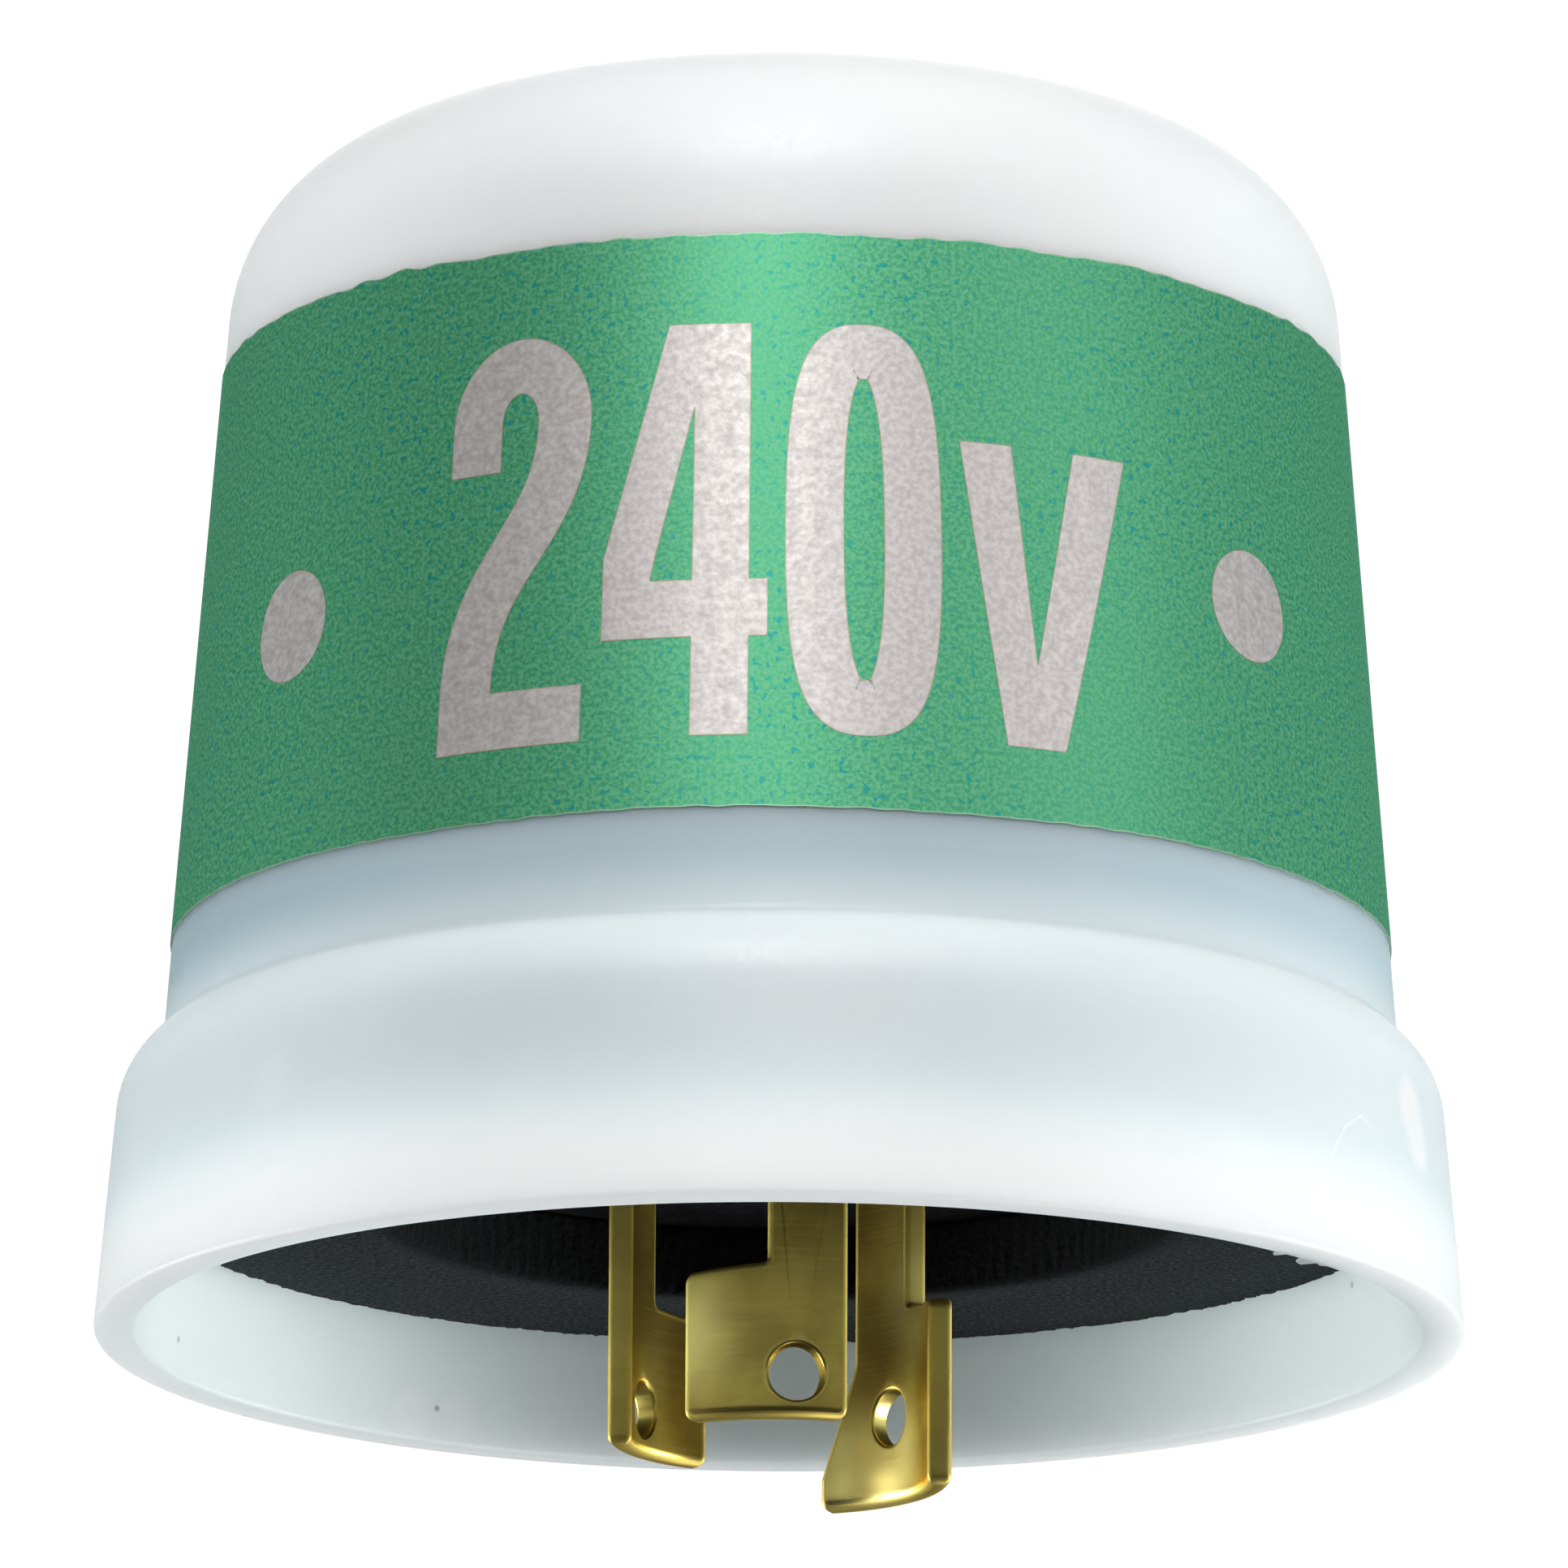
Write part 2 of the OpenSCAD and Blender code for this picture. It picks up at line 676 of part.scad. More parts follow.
module heater() {
  r = heater_d / 2;
  edge = 0.22 * r;
  cap = 0.8 * r;
  waist = r - edge / 2;
  color("tan")
    switch_frame()
      translate([-heater_end, heater_y, arm_mid])
        rotate([0, 90, 0])
          rotate_extrude()
            polygon([
              [0, 0], [r - edge, 0], [r, edge], [r, cap], [waist, cap + edge],
              [waist, heater_l - cap - edge], [r, heater_l - cap], [r, heater_l - edge],
              [r - edge, heater_l], [0, heater_l]
            ]);
}

module heater_leads() {
  color("lightgray")
    switch_frame() {
      wire([
        [-heater_end, heater_y, arm_mid], [-heater_end - 2.75 * lead_d, heater_y, arm_mid],
        [tie_x - tie_in, tie_y, arm_mid], [tie_x - tie_in, tie_y, tie_low]
      ]);
      wire([
        [heater_end, heater_y, arm_mid], [heater_end + 2.5 * lead_d, heater_y, arm_mid],
        [neutral_right[0], neutral_right[1], arm_mid], [neutral_right[0], neutral_right[1], base_top]
      ]);
    }
}

module tie_post() {
  r = tie_d / 2;
  sunk = base_t - tie_floor;
  high = sunk + tie_h;
  edge = 0.1 * tie_d;
  color("goldenrod")
    switch_frame()
      difference() {
        translate([tie_x, tie_y, base_z + tie_floor])
          rotate_extrude()
            polygon([
              [0, 0], [r - tie_collar, 0], [r - tie_collar, sunk], [r + tie_collar, sunk],
              [r + tie_collar, sunk + 2 * tie_collar], [r, sunk + 2 * tie_collar], [r, high - edge],
              [r - edge, high], [0, high]
            ]);
        for (s = [-1, 1]) {
          translate([tie_x + s * tie_in, tie_y, tie_low - catch_play])
            cylinder(h = tie_hole + cut, d = lead_d + 2 * catch_play, $fn = 24);
        }
      }
}

module photocell() {
  r = cell_d / 2;
  edge = cell_t / 6;
  track = cell_d / 18;
  pitch = cell_d / 8.5;
  color("peru")
    switch_frame()
      translate([0, -post_back, cell_floor]) {
        rotate_extrude()
          polygon([[0, 0], [r - edge, 0], [r, edge], [r, cell_t - edge], [r - edge, cell_t], [0, cell_t]]);
        for (i = [-3:3]) {
          half = sqrt(r * r - pow(pitch * i, 2)) - r / 4;
          translate([pitch * i - track / 2, -half, cell_t - track / 6])
            cube([track, 2 * half, track / 3]);
        }
      }
}

module photocell_leads() {
  x = cell_pitch / 2;
  high = bridge_z - cell_bend;
  low = high - cell_step;
  color("lightgray")
    switch_frame() {
      wire([
        [-x, -post_back, cell_floor], [-x, -post_back, high],
        [line_left[0], line_left[1], high], [line_left[0], line_left[1], tab_top]
      ]);
      wire([
        [x, -post_back, cell_floor], [x, -post_back, low],
        [tie_x + tie_in, tie_y, low], [tie_x + tie_in, tie_y, tie_low]
      ]);
    }
}

module cell_bridge() {
  color("ivory")
    switch_frame()
      translate([0, -post_back, bridge_z])
        difference() {
          union() {
            translate([-post_pitch / 2, -post_d / 2, 0])
              cube([post_pitch, post_d, bridge_t]);
            for (s = [-1, 1]) {
              translate([s * post_pitch / 2, 0, 0])
                cylinder(h = bridge_t, d = post_d);
            }
            cylinder(h = bridge_t + cup_h, d = cup_d);
          }
          translate([0, 0, bridge_t - cell_seat])
            cylinder(h = cup_h + cell_seat + cut, d = cell_d + hole_fit);
          for (s = [-1, 1]) {
            translate([s * post_pitch / 2, 0, -cut])
              cylinder(h = bridge_t + 2 * cut, d = screw_d + hole_fit);
            translate([s * cell_pitch / 2, 0, -cut])
              cylinder(h = bridge_t + 2 * cut, d = lead_d + hole_fit, $fn = 24);
          }
        }
}

module bridge_screws() {
  r = screw_head_d / 2;
  end = head_t / 3 - screw_l;
  slot_w = 0.3 * screw_d;
  color("silver")
    switch_frame()
      for (s = [-1, 1]) {
        translate([s * post_pitch / 2, -post_back, bridge_z + bridge_t])
          difference() {
            rotate_extrude()
              polygon(concat(
                [[0, end], [screw_d / 4, end], [screw_d / 2, end + screw_d / 2], [screw_d / 2, 0]],
                arc([r - head_t / 2, head_t / 2], head_t / 2, -90, 90, 6),
                [[0, head_t]]
              ));
            translate([-slot_w / 2, -screw_head_d, head_t / 2])
              cube([slot_w, 2 * screw_head_d, head_t]);
          }
      }
}

module varistor() {
  r = varistor_d / 2;
  e = varistor_t / 3;
  color("royalblue")
    switch_frame()
      translate([varistor_x - varistor_t / 2, varistor_y, varistor_z])
        rotate([0, 90, 0])
          rotate_extrude()
            polygon(concat(
              [[0, 0]], arc([r - e, e], e, -90, 0, 5), arc([r - e, varistor_t - e], e, 0, 90, 5),
              [[0, varistor_t]]
            ));
}

module varistor_leads() {
  half = varistor_pitch / 2;
  r = varistor_d / 2;
  top = varistor_z - sqrt(r * r - half * half);
  low = base_top + varistor_bend;
  color("lightgray")
    switch_frame()
      difference() {
        union() {
          wire([
            [varistor_x, varistor_y + half, top + cut], [varistor_x, varistor_y + half, low],
            [line_right[0], line_right[1], low], [line_right[0], line_right[1], tab_top]
          ]);
          wire([
            [varistor_x, varistor_y - half, top + cut], [varistor_x, varistor_y - half, low],
            [neutral_left[0], neutral_left[1], low], [neutral_left[0], neutral_left[1], base_top]
          ]);
        }
        translate([varistor_x - varistor_t / 2 - cut, varistor_y, varistor_z])
          rotate([0, 90, 0])
            cylinder(h = varistor_t + 2 * cut, r = r);
      }
}

// A cone of solder round a lead that stands on a face at height z
module solder(p, z) {
  translate([p[0], p[1], z])
    difference() {
      cylinder(h = 1.125 * lead_d, d1 = 2.5 * lead_d, d2 = 1.5 * lead_d, $fn = 32);
      translate([0, 0, -cut])
        cylinder(h = 2 * lead_d + 2 * cut, d = lead_d + seat_fit, $fn = 24);
    }
}

module solder_joints() {
  color("lightsteelblue")
    switch_frame() {
      solder(line_left, foot_top);
      solder(line_right, foot_top);
      solder(neutral_left, tab_top);
      solder(neutral_right, tab_top);
    }
}

cover();
label_band();
gasket();
base();
line_blade();
load_blade();
neutral_blade();
blade_rivets();
arm_post();
bimetal_arm();
moving_contact();
contact_bracket();
fixed_contact();
heater();
heater_leads();
tie_post();
photocell();
photocell_leads();
cell_bridge();
bridge_screws();
varistor();
varistor_leads();
solder_joints();
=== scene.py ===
"""Looks of the photocell switch: a drafted plastic cover with a foil band, a foam ring and brass blades.

Sizes are in millimetres and become metres when a mesh is made. Z is up along the plug's axis. The origin
is the centre of the foam ring's lower face. Plug angles are in degrees from the front, -Y, towards +X.
"""

import logging
import math
from dataclasses import dataclass, field
from enum import Enum
from typing import Any, ClassVar

import bmesh
import bpy
import numpy as np
from mathutils import Matrix, Vector


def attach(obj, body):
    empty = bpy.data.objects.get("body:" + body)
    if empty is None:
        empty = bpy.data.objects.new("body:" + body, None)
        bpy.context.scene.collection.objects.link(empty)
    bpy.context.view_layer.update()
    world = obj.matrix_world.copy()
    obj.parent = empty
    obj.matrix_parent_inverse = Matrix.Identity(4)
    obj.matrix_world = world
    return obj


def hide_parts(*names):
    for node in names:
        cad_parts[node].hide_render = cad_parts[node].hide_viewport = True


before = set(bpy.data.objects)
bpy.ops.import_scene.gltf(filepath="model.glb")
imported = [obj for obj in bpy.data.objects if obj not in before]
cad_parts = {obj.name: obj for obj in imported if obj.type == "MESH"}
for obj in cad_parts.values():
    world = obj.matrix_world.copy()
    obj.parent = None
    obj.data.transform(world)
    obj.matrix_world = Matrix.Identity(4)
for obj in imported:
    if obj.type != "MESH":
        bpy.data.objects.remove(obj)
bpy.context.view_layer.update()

LOG = logging.getLogger("photocell_switch")
MM = 0.001
UV_SPAN = 250.0
HOUSING = "housing"

Colour = tuple[float, float, float]
Socket = bpy.types.NodeSocket
Value = Socket | float | Colour


class Coords(Enum):
    """Where a pattern's coordinates come from, both counted in millimetres."""

    OBJECT = "Object"
    UV = "UV"


def on_circle(radius: np.ndarray, angle: np.ndarray, height: np.ndarray) -> np.ndarray:
    """Points at a radius from the plug's axis, at a plug angle in degrees and at a height.

    Args:
        radius: Distance from the axis.
        angle: Plug angle, from the front towards +X.
        height: Height above the seat.

    Returns:
        Points with a last axis of three.
    """
    turn = np.radians(angle)
    radius, turn, height = np.broadcast_arrays(radius, turn, height)
    return np.stack([radius * np.sin(turn), -radius * np.cos(turn), height], axis=-1)


def arc(centre: tuple[float, float], radius: float, start: float, end: float, count: int) -> np.ndarray:
    """Points of an arc: the centre plus the radius turned evenly from start to end, in degrees.

    Args:
        centre: Centre in radius and height.
        radius: Radius of the arc.
        start: First angle.
        end: Last angle.
        count: Number of points.

    Returns:
        Points in radius and height.
    """
    turn = np.radians(np.linspace(start, end, count))
    return np.array(centre) + radius * np.stack([np.cos(turn), np.sin(turn)], axis=-1)


def line(start: np.ndarray, end: np.ndarray, count: int) -> np.ndarray:
    """Points strictly between two ends, evenly spaced.

    Args:
        start: First end, left out.
        end: Last end, left out.
        count: Number of points between them.

    Returns:
        Points in radius and height.
    """
    share = np.linspace(0, 1, count + 2)[1:-1, None]
    return np.array(start) * (1 - share) + np.array(end) * share


def ripple(angle: np.ndarray, seed: int, low: int, high: int, terms: int = 9) -> np.ndarray:
    """A wavy value round a full turn: a sum of sines of whole frequencies with seeded phases.

    Args:
        angle: Angles in degrees.
        seed: Seed of the phases.
        low: Lowest number of waves in a turn.
        high: Highest number of waves in a turn.
        terms: Number of sines.

    Returns:
        Values that stay near -1 to 1.
    """
    rng = np.random.default_rng(seed)
    waves = rng.integers(low, high + 1, terms)
    phase = rng.uniform(0, 2 * np.pi, terms)
    turn = np.radians(np.asarray(angle, dtype=float))[..., None]
    return np.sin(turn * waves + phase).sum(axis=-1) / np.sqrt(terms)


@dataclass
class Shell:
    """A mesh in the making: grids of points that are joined into one object."""

    points: list[np.ndarray] = field(default_factory=list)
    faces: list[list[int]] = field(default_factory=list)
    uvs: list[np.ndarray] = field(default_factory=list)
    marks: list[np.ndarray] = field(default_factory=list)
    count: int = 0

    def store(self, points: np.ndarray, uv: np.ndarray, mark: np.ndarray) -> np.ndarray:
        """Keeps a grid's points.

        Args:
            points: Grid of points.
            uv: Pattern coordinates in millimetres, for each point or for all.
            mark: Edge mark, for each point or for all.

        Returns:
            The grid of the points' numbers.
        """
        shape = points.shape[:-1]
        numbers = np.arange(self.count, self.count + math.prod(shape)).reshape(shape)
        self.points.append(points.reshape(-1, 3))
        self.uvs.append(np.broadcast_to(uv, shape + (2,)).reshape(-1, 2) / UV_SPAN)
        self.marks.append(np.broadcast_to(mark, shape).reshape(-1))
        self.count += numbers.size
        return numbers

    def weave(self, numbers: np.ndarray, wrap_rows: bool = False, wrap_columns: bool = False) -> None:
        """Adds a quad between each pair of neighbouring rows and columns.

        Args:
            numbers: Grid of point numbers.
            wrap_rows: Join the last row to the first.
            wrap_columns: Join the last column to the first.
        """
        rows = np.vstack([numbers, numbers[:1]]) if wrap_rows else numbers
        grid = np.hstack([rows, rows[:, :1]]) if wrap_columns else rows
        quads = np.stack([grid[:-1, :-1], grid[:-1, 1:], grid[1:, 1:], grid[1:, :-1]], axis=-1)
        self.faces.extend(quads.reshape(-1, 4).tolist())

    def add_tube(self, points: np.ndarray, uv: np.ndarray = 0.0, mark: np.ndarray = 0.0) -> None:
        """Adds a grid that closes on itself both ways, like a ring."""
        self.weave(self.store(points, uv, mark), wrap_rows=True, wrap_columns=True)

    def add_turned(self, profile: np.ndarray, count: int, mark: np.ndarray | None = None) -> None:
        """Adds a profile carried once round the axis, with its two ends closed at poles on the axis.

        Args:
            profile: Points in radius and height, with both ends on the axis.
            count: Number of steps round the axis.
            mark: Mark of each point of the profile, if any.
        """
        angle = np.arange(count) * 360 / count
        rings = on_circle(profile[1:-1, 0, None], angle, profile[1:-1, 1, None])
        marks = np.zeros(len(profile)) if mark is None else mark
        numbers = self.store(rings, 0.0, marks[1:-1, None])
        self.weave(numbers, wrap_columns=True)
        for end, ring in ((profile[0], numbers[0]), (profile[-1], numbers[-1])):
            pole = self.store(np.array([[0.0, 0.0, end[1]]]), 0.0, 0.0)
            fan = np.stack([ring, np.roll(ring, -1), np.broadcast_to(pole, ring.shape)], axis=-1)
            self.faces.extend(fan.tolist())

    def add_plate(self, front: np.ndarray, back: np.ndarray, uv: np.ndarray = 0.0,
                  mark: np.ndarray = 0.0, ring: bool = False) -> None:
        """Adds a closed plate from its two faces, with walls along their borders.

        Args:
            front: Grid of the front face.
            back: Grid of the back face, of the same shape.
            uv: Pattern coordinates in millimetres.
            mark: Edge mark.
            ring: The columns run once round, so there are only two borders.
        """
        face = self.store(front, uv, mark)
        rear = self.store(back, uv, mark)
        self.weave(face, wrap_columns=ring)
        self.weave(rear[:, ::-1], wrap_columns=ring)
        if ring:
            for row in (0, -1):
                self.weave(np.stack([face[row], rear[row]]), wrap_columns=True)
            return
        border = [np.concatenate([g[0], g[1:, -1], g[-1, -2::-1], g[-2:0:-1, 0]]) for g in (face, rear)]
        self.weave(np.stack(border), wrap_columns=True)

    def add_sector(self, profile: np.ndarray, angle: np.ndarray) -> None:
        """Adds a closed profile carried from the first angle to the last, with both ends capped.

        Args:
            profile: Points of a closed outline in radius and height.
            angle: Plug angles of the steps.
        """
        numbers = self.store(on_circle(profile[:, 0, None], angle, profile[:, 1, None]), 0.0, 0.0)
        self.weave(numbers, wrap_rows=True)
        self.faces.extend([numbers[:, 0].tolist(), numbers[::-1, -1].tolist()])

    def build(self, name: str, crease: float = 42.0) -> bpy.types.Object:
        """Makes the object, with faces outwards and edges sharp where they turn more than the crease.

        Args:
            name: Name of the piece.
            crease: Angle in degrees above which an edge is drawn sharp.

        Returns:
            The new object, at the origin.
        """
        mesh = bpy.data.meshes.new(name)
        mesh.from_pydata((np.concatenate(self.points) * MM).tolist(), [], self.faces)
        work = bmesh.new()
        work.from_mesh(mesh)
        bmesh.ops.recalc_face_normals(work, faces=work.faces)
        work.to_mesh(mesh)
        work.free()
        corners = np.empty(len(mesh.loops), dtype=np.int32)
        mesh.loops.foreach_get("vertex_index", corners)
        uv = np.concatenate(self.uvs)[corners].astype(np.float32)
        mesh.uv_layers.new(name="UVMap").data.foreach_set("uv", uv.ravel())
        mark = mesh.attributes.new("edge", "FLOAT", "POINT")
        mark.data.foreach_set("value", np.concatenate(self.marks).astype(np.float32))
        mesh.shade_smooth()
        mesh.set_sharp_from_angle(angle=math.radians(crease))
        piece = bpy.data.objects.new(name, mesh)
        bpy.context.scene.collection.objects.link(piece)
        return piece


class Recipe:
    """A material's node tree, with short calls that add nodes and join them."""

    def __init__(self, name: str) -> None:
        """Starts a material that holds a Principled shader and its output.

        Args:
            name: Name of the material.
        """
        self.material = bpy.data.materials.new(name)
        self.material.use_nodes = True
        self.tree = self.material.node_tree
        self.tree.nodes.clear()
        self.shader = self.add("ShaderNodeBsdfPrincipled")
        self.add("ShaderNodeOutputMaterial", {"Surface": self.shader.outputs["BSDF"]})

    def feed(self, socket: Socket, value: Value) -> None:
        """Joins a socket to another one, or sets it.

        Args:
            socket: Socket that takes the value.
            value: Socket to join, or a number, a vector or a colour.
        """
        if isinstance(value, Socket):
            self.tree.links.new(value, socket)
        else:
            socket.default_value = (*value, 1.0) if socket.type == "RGBA" else value

    def add(self, kind: str, inputs: dict[str | int, Value] | None = None,
            **settings: Any) -> bpy.types.Node:
        """Adds a node.

        Args:
            kind: Node type.
            inputs: Sockets, by name or number, with what they take.
            **settings: Properties of the node.

        Returns:
            The new node.
        """
        node = self.tree.nodes.new(kind)
        for key, value in settings.items():
            setattr(node, key, value)
        for key, value in (inputs or {}).items():
            self.feed(node.inputs[key], value)
        return node

    def set(self, **values: Value) -> None:
        """Sets the shader's sockets, whose names are written with _ for a space."""
        for key, value in values.items():
            self.feed(self.shader.inputs[key.replace("_", " ")], value)

    def coords(self, source: Coords, stretch: Colour = (1.0, 1.0, 1.0)) -> Socket:
        """Pattern coordinates in millimetres.

        Args:
            source: Where they come from.
            stretch: Factor along each axis.

        Returns:
            The coordinates.
        """
        place = self.add("ShaderNodeTexCoord").outputs[source.value]
        unit = 1 / MM if source is Coords.OBJECT else UV_SPAN
        scale = tuple(unit * s for s in stretch)
        return self.add("ShaderNodeMapping", {"Vector": place, "Scale": scale}).outputs["Vector"]

    def noise(self, where: Socket, scale: float, detail: float = 2.0, roughness: float = 0.5) -> Socket:
        """A noise value with that many features in a millimetre."""
        settings = {"Vector": where, "Scale": scale, "Detail": detail, "Roughness": roughness}
        return self.add("ShaderNodeTexNoise", settings).outputs["Fac"]

    def span(self, value: Socket, low: float, high: float, to_low: float = 0.0,
             to_high: float = 1.0) -> Socket:
        """A value carried from one range to another, smooth and kept inside it."""
        settings = {"Value": value, "From Min": low, "From Max": high, "To Min": to_low, "To Max": to_high}
        return self.add("ShaderNodeMapRange", settings, interpolation_type="SMOOTHSTEP").outputs["Result"]

    def vary(self, noise: Socket, low: float, high: float) -> Socket:
        """A value that drifts between two with a noise."""
        return self.span(noise, 0.3, 0.7, low, high)

    def mix(self, share: Socket, first: Value, second: Value) -> Socket:
        """A colour between two."""
        return self.add("ShaderNodeMix", {0: share, 6: first, 7: second}, data_type="RGBA").outputs[2]

    def plus(self, first: Value, second: Value) -> Socket:
        """The sum of two values."""
        return self.add("ShaderNodeMath", {0: first, 1: second}, operation="ADD").outputs["Value"]

    def times(self, first: Value, second: Value) -> Socket:
        """The product of two values."""
        return self.add("ShaderNodeMath", {0: first, 1: second}, operation="MULTIPLY").outputs["Value"]

    def vector(self, operation: str, first: Value, second: Value, result: str = "Vector") -> Socket:
        """An operation on two vectors."""
        return self.add("ShaderNodeVectorMath", {0: first, 1: second}, operation=operation).outputs[result]

    def mark(self) -> Socket:
        """The mesh's own mark for its edges."""
        return self.add("ShaderNodeAttribute", attribute_name="edge").outputs["Fac"]

    def spot(self, centre: np.ndarray, radius: float, soft: float) -> Socket:
        """A soft round spot about a point, in millimetres.

        Args:
            centre: Middle of the spot.
            radius: Distance at which it has faded.
            soft: Share of the radius at which it starts to fade.

        Returns:
            One near the centre, nothing beyond the radius.
        """
        gap = self.vector("DISTANCE", self.coords(Coords.OBJECT), tuple(centre.tolist()), "Value")
        return self.span(gap, radius * soft, radius, 1.0, 0.0)

    def streak(self, start: np.ndarray, end: np.ndarray, width: float) -> Socket:
        """A soft thin line between two points, in millimetres.

        The nearest point on the line is the start plus the reach, kept between 0 and 1, along it.

        Args:
            start: First end.
            end: Last end.
            width: Distance from the line at which the streak has faded.

        Returns:
            One on the line, nothing beyond the width.
        """
        along = end - start
        off = self.vector("SUBTRACT", self.coords(Coords.OBJECT), tuple(start.tolist()))
        reach = self.vector("DOT_PRODUCT", off, tuple((along / (along @ along)).tolist()), "Value")
        reach = self.add("ShaderNodeClamp", {"Value": reach}).outputs["Result"]
        nearest = self.vector("MULTIPLY", reach, tuple(along.tolist()))
        return self.span(self.vector("DISTANCE", off, nearest, "Value"), 0.0, width, 1.0, 0.0)

    def bump(self, height: Socket, strength: float, depth: float) -> None:
        """Raises the surface, on top of the bumps before.

        Args:
            height: Height of the relief.
            strength: Share of the relief that shows.
            depth: Size of the relief in millimetres.
        """
        normal = self.shader.inputs["Normal"]
        settings = {"Height": height, "Strength": strength, "Distance": depth * MM}
        if normal.is_linked:
            settings["Normal"] = normal.links[0].from_socket
        self.feed(normal, self.add("ShaderNodeBump", settings).outputs["Normal"])


@dataclass(frozen=True)
class Fleck:
    """A mark on a piece: a soft round spot at a plug angle, a height above the seat and a radius."""

    angle: float
    height: float
    size: float
    share: float
    colour: Colour
    wall_r: float = 41.1
    soft: float = 0.3

    def lay(self, r: Recipe, colour: Socket) -> Socket:
        """Lays the mark over a colour.

        Args:
            r: Recipe of the material.
            colour: Colour below the mark.

        Returns:
            The colour with the mark.
        """
        centre = on_circle(np.array(self.wall_r), np.array(self.angle), np.array(self.height))
        spot = r.spot(centre, self.size, self.soft)
        return r.mix(r.times(spot, self.share), colour, self.colour)


class Coat:
    """A finish that fills a recipe and gives a material."""

    def paint(self, r: Recipe) -> None:
        """Fills a recipe with the finish."""
        raise NotImplementedError

    def make(self, name: str) -> bpy.types.Material:
        """Makes a material of the finish.

        Args:
            name: Name of the material.

        Returns:
            The material.
        """
        r = Recipe(name)
        self.paint(r)
        return r.material


@dataclass(frozen=True)
class CoverPlastic(Coat):
    """Natural translucent polypropylene: milky and satin, with the dark inside dimming the wall it backs.

    The dimming is painted shade. The skirt's free hem and the crown are pale, and the hem near the rim is
    whiter with a painted glow. Painted shade greys the wall over the foam and the base, and most along the
    body, where the whole dark inside lies behind it; the left side is shaded deeper and the inner wall
    bluish, both painted. The spots by the catches are painted highlights. Heights are above the seat.
    """

    pale: Colour = (0.905, 0.956, 0.964)
    cloudy: Colour = (0.86, 0.924, 0.938)
    # Painted shade: the wall greys towards this colour by height, over the skirt and the body.
    painted_shade: Colour = (0.45, 0.575, 0.62)
    # Painted shade, deeper, on the left side of the body and skirt.
    deep: Colour = (0.27, 0.37, 0.41)
    # Painted shade of the inner wall: a bluish grey.
    inside: Colour = (0.82, 0.935, 0.95)
    # White of the painted glow near the rim, of the painted highlights by the catches and of the real
    # scratch.
    white_glow_and_scratch: ClassVar[Colour] = (0.965, 0.985, 0.985)
    dirt: ClassVar[Colour] = (0.30, 0.27, 0.22)
    # Spans of the painted light: glow near the rim, shade by height up to the crown, darker left side
    # across X.
    rim: tuple[float, float] = (-6.0, -3.4)
    hem: tuple[float, float] = (-4.2, 0.2)
    foot: tuple[float, float] = (9.0, 15.0)
    crown: tuple[float, float] = (17.0, 50.0)
    left: tuple[float, float] = (-36.0, -14.0)
    skirt_painted_shade: float = 0.42
    body_painted_shade: float = 0.60
    left_painted_shade: float = 0.6
    # Painted highlights by the catches, two lighter spots inside the hem, and real specks of dirt.
    flecks: tuple[Fleck, ...] = (
        Fleck(-47.2, 2.2, 2.4, 0.15, white_glow_and_scratch),
        Fleck(68.0, 3.6, 2.6, 0.75, white_glow_and_scratch),
        Fleck(69.0, 1.6, 2.4, 0.75, white_glow_and_scratch),
        Fleck(211.6, -5.9, 2.2, 0.5, white_glow_and_scratch, 39.1),
        Fleck(216.4, -5.9, 2.2, 0.5, white_glow_and_scratch, 39.1),
        Fleck(213.8, -5.5, 0.28, 0.7, dirt, 39.2),
        Fleck(252.5, -5.4, 0.32, 0.6, dirt, 39.2),
        Fleck(112.6, -0.9, 0.30, 0.6, dirt, 38.8),
    )
    scratch: tuple[tuple[float, float], ...] = ((52.0, -1.9), (54.7, 0.5), (57.5, 1.6), (58.9, 1.1))
    scratch_w: float = 0.16
    scratch_share: float = 0.35
    skirt_r: float = 41.35
    skirt_lean: float = 0.084

    def paint(self, r: Recipe) -> None:
        """Fills the recipe: shades by height and side, then the inside, the flecks and the scratch.

        Args:
            r: Recipe of the material.
        """
        where = r.coords(Coords.OBJECT)
        grain = r.noise(where, 1.9)
        colour = r.mix(r.span(r.noise(where, 0.045, 3.0), 0.35, 0.65), self.cloudy, self.pale)
        place = r.add("ShaderNodeSeparateXYZ", {"Vector": where}).outputs
        height = place["Z"]
        # Painted shade: greys the wall by height over the skirt and the body, fading out towards the crown.
        below = r.span(height, *self.crown, 1.0, 0.0)
        share = r.plus(r.span(height, *self.hem, 0.0, self.skirt_painted_shade),
                       r.span(height, *self.foot, 0.0, self.body_painted_shade))
        colour = r.mix(r.times(share, below), colour, self.painted_shade)
        # Painted shade: the left side of the body and skirt is darker still.
        side = r.times(r.span(place["X"], *self.left, self.left_painted_shade, 0.0), r.span(height, *self.foot))
        colour = r.mix(r.times(side, below), colour, self.deep)
        # Painted glow: the hem near the rim turns whiter.
        colour = r.mix(r.span(height, *self.rim, 1.0, 0.0), colour, self.white_glow_and_scratch)
        # Painted shade: the inner wall takes a bluish grey.
        colour = r.mix(r.mark(), colour, self.inside)
        for fleck in self.flecks:
            colour = fleck.lay(r, colour)
        angle, up = np.array(self.scratch).T
        path = on_circle(self.skirt_r - self.skirt_lean * up, angle, up)
        for start, end in zip(path[:-1], path[1:]):
            streak = r.streak(start, end, self.scratch_w)
            colour = r.mix(r.times(streak, self.scratch_share), colour, self.white_glow_and_scratch)
        r.set(Base_Color=colour, Roughness=r.vary(grain, 0.44, 0.54), IOR=1.49, Specular_IOR_Level=0.42)
        r.set(Subsurface_Weight=1.0, Subsurface_Radius=(1.0, 1.0, 1.0), Subsurface_Scale=0.006)
        r.bump(grain, 0.22, 0.05)
        r.bump(r.noise(where, 0.16), 0.25, 0.08)


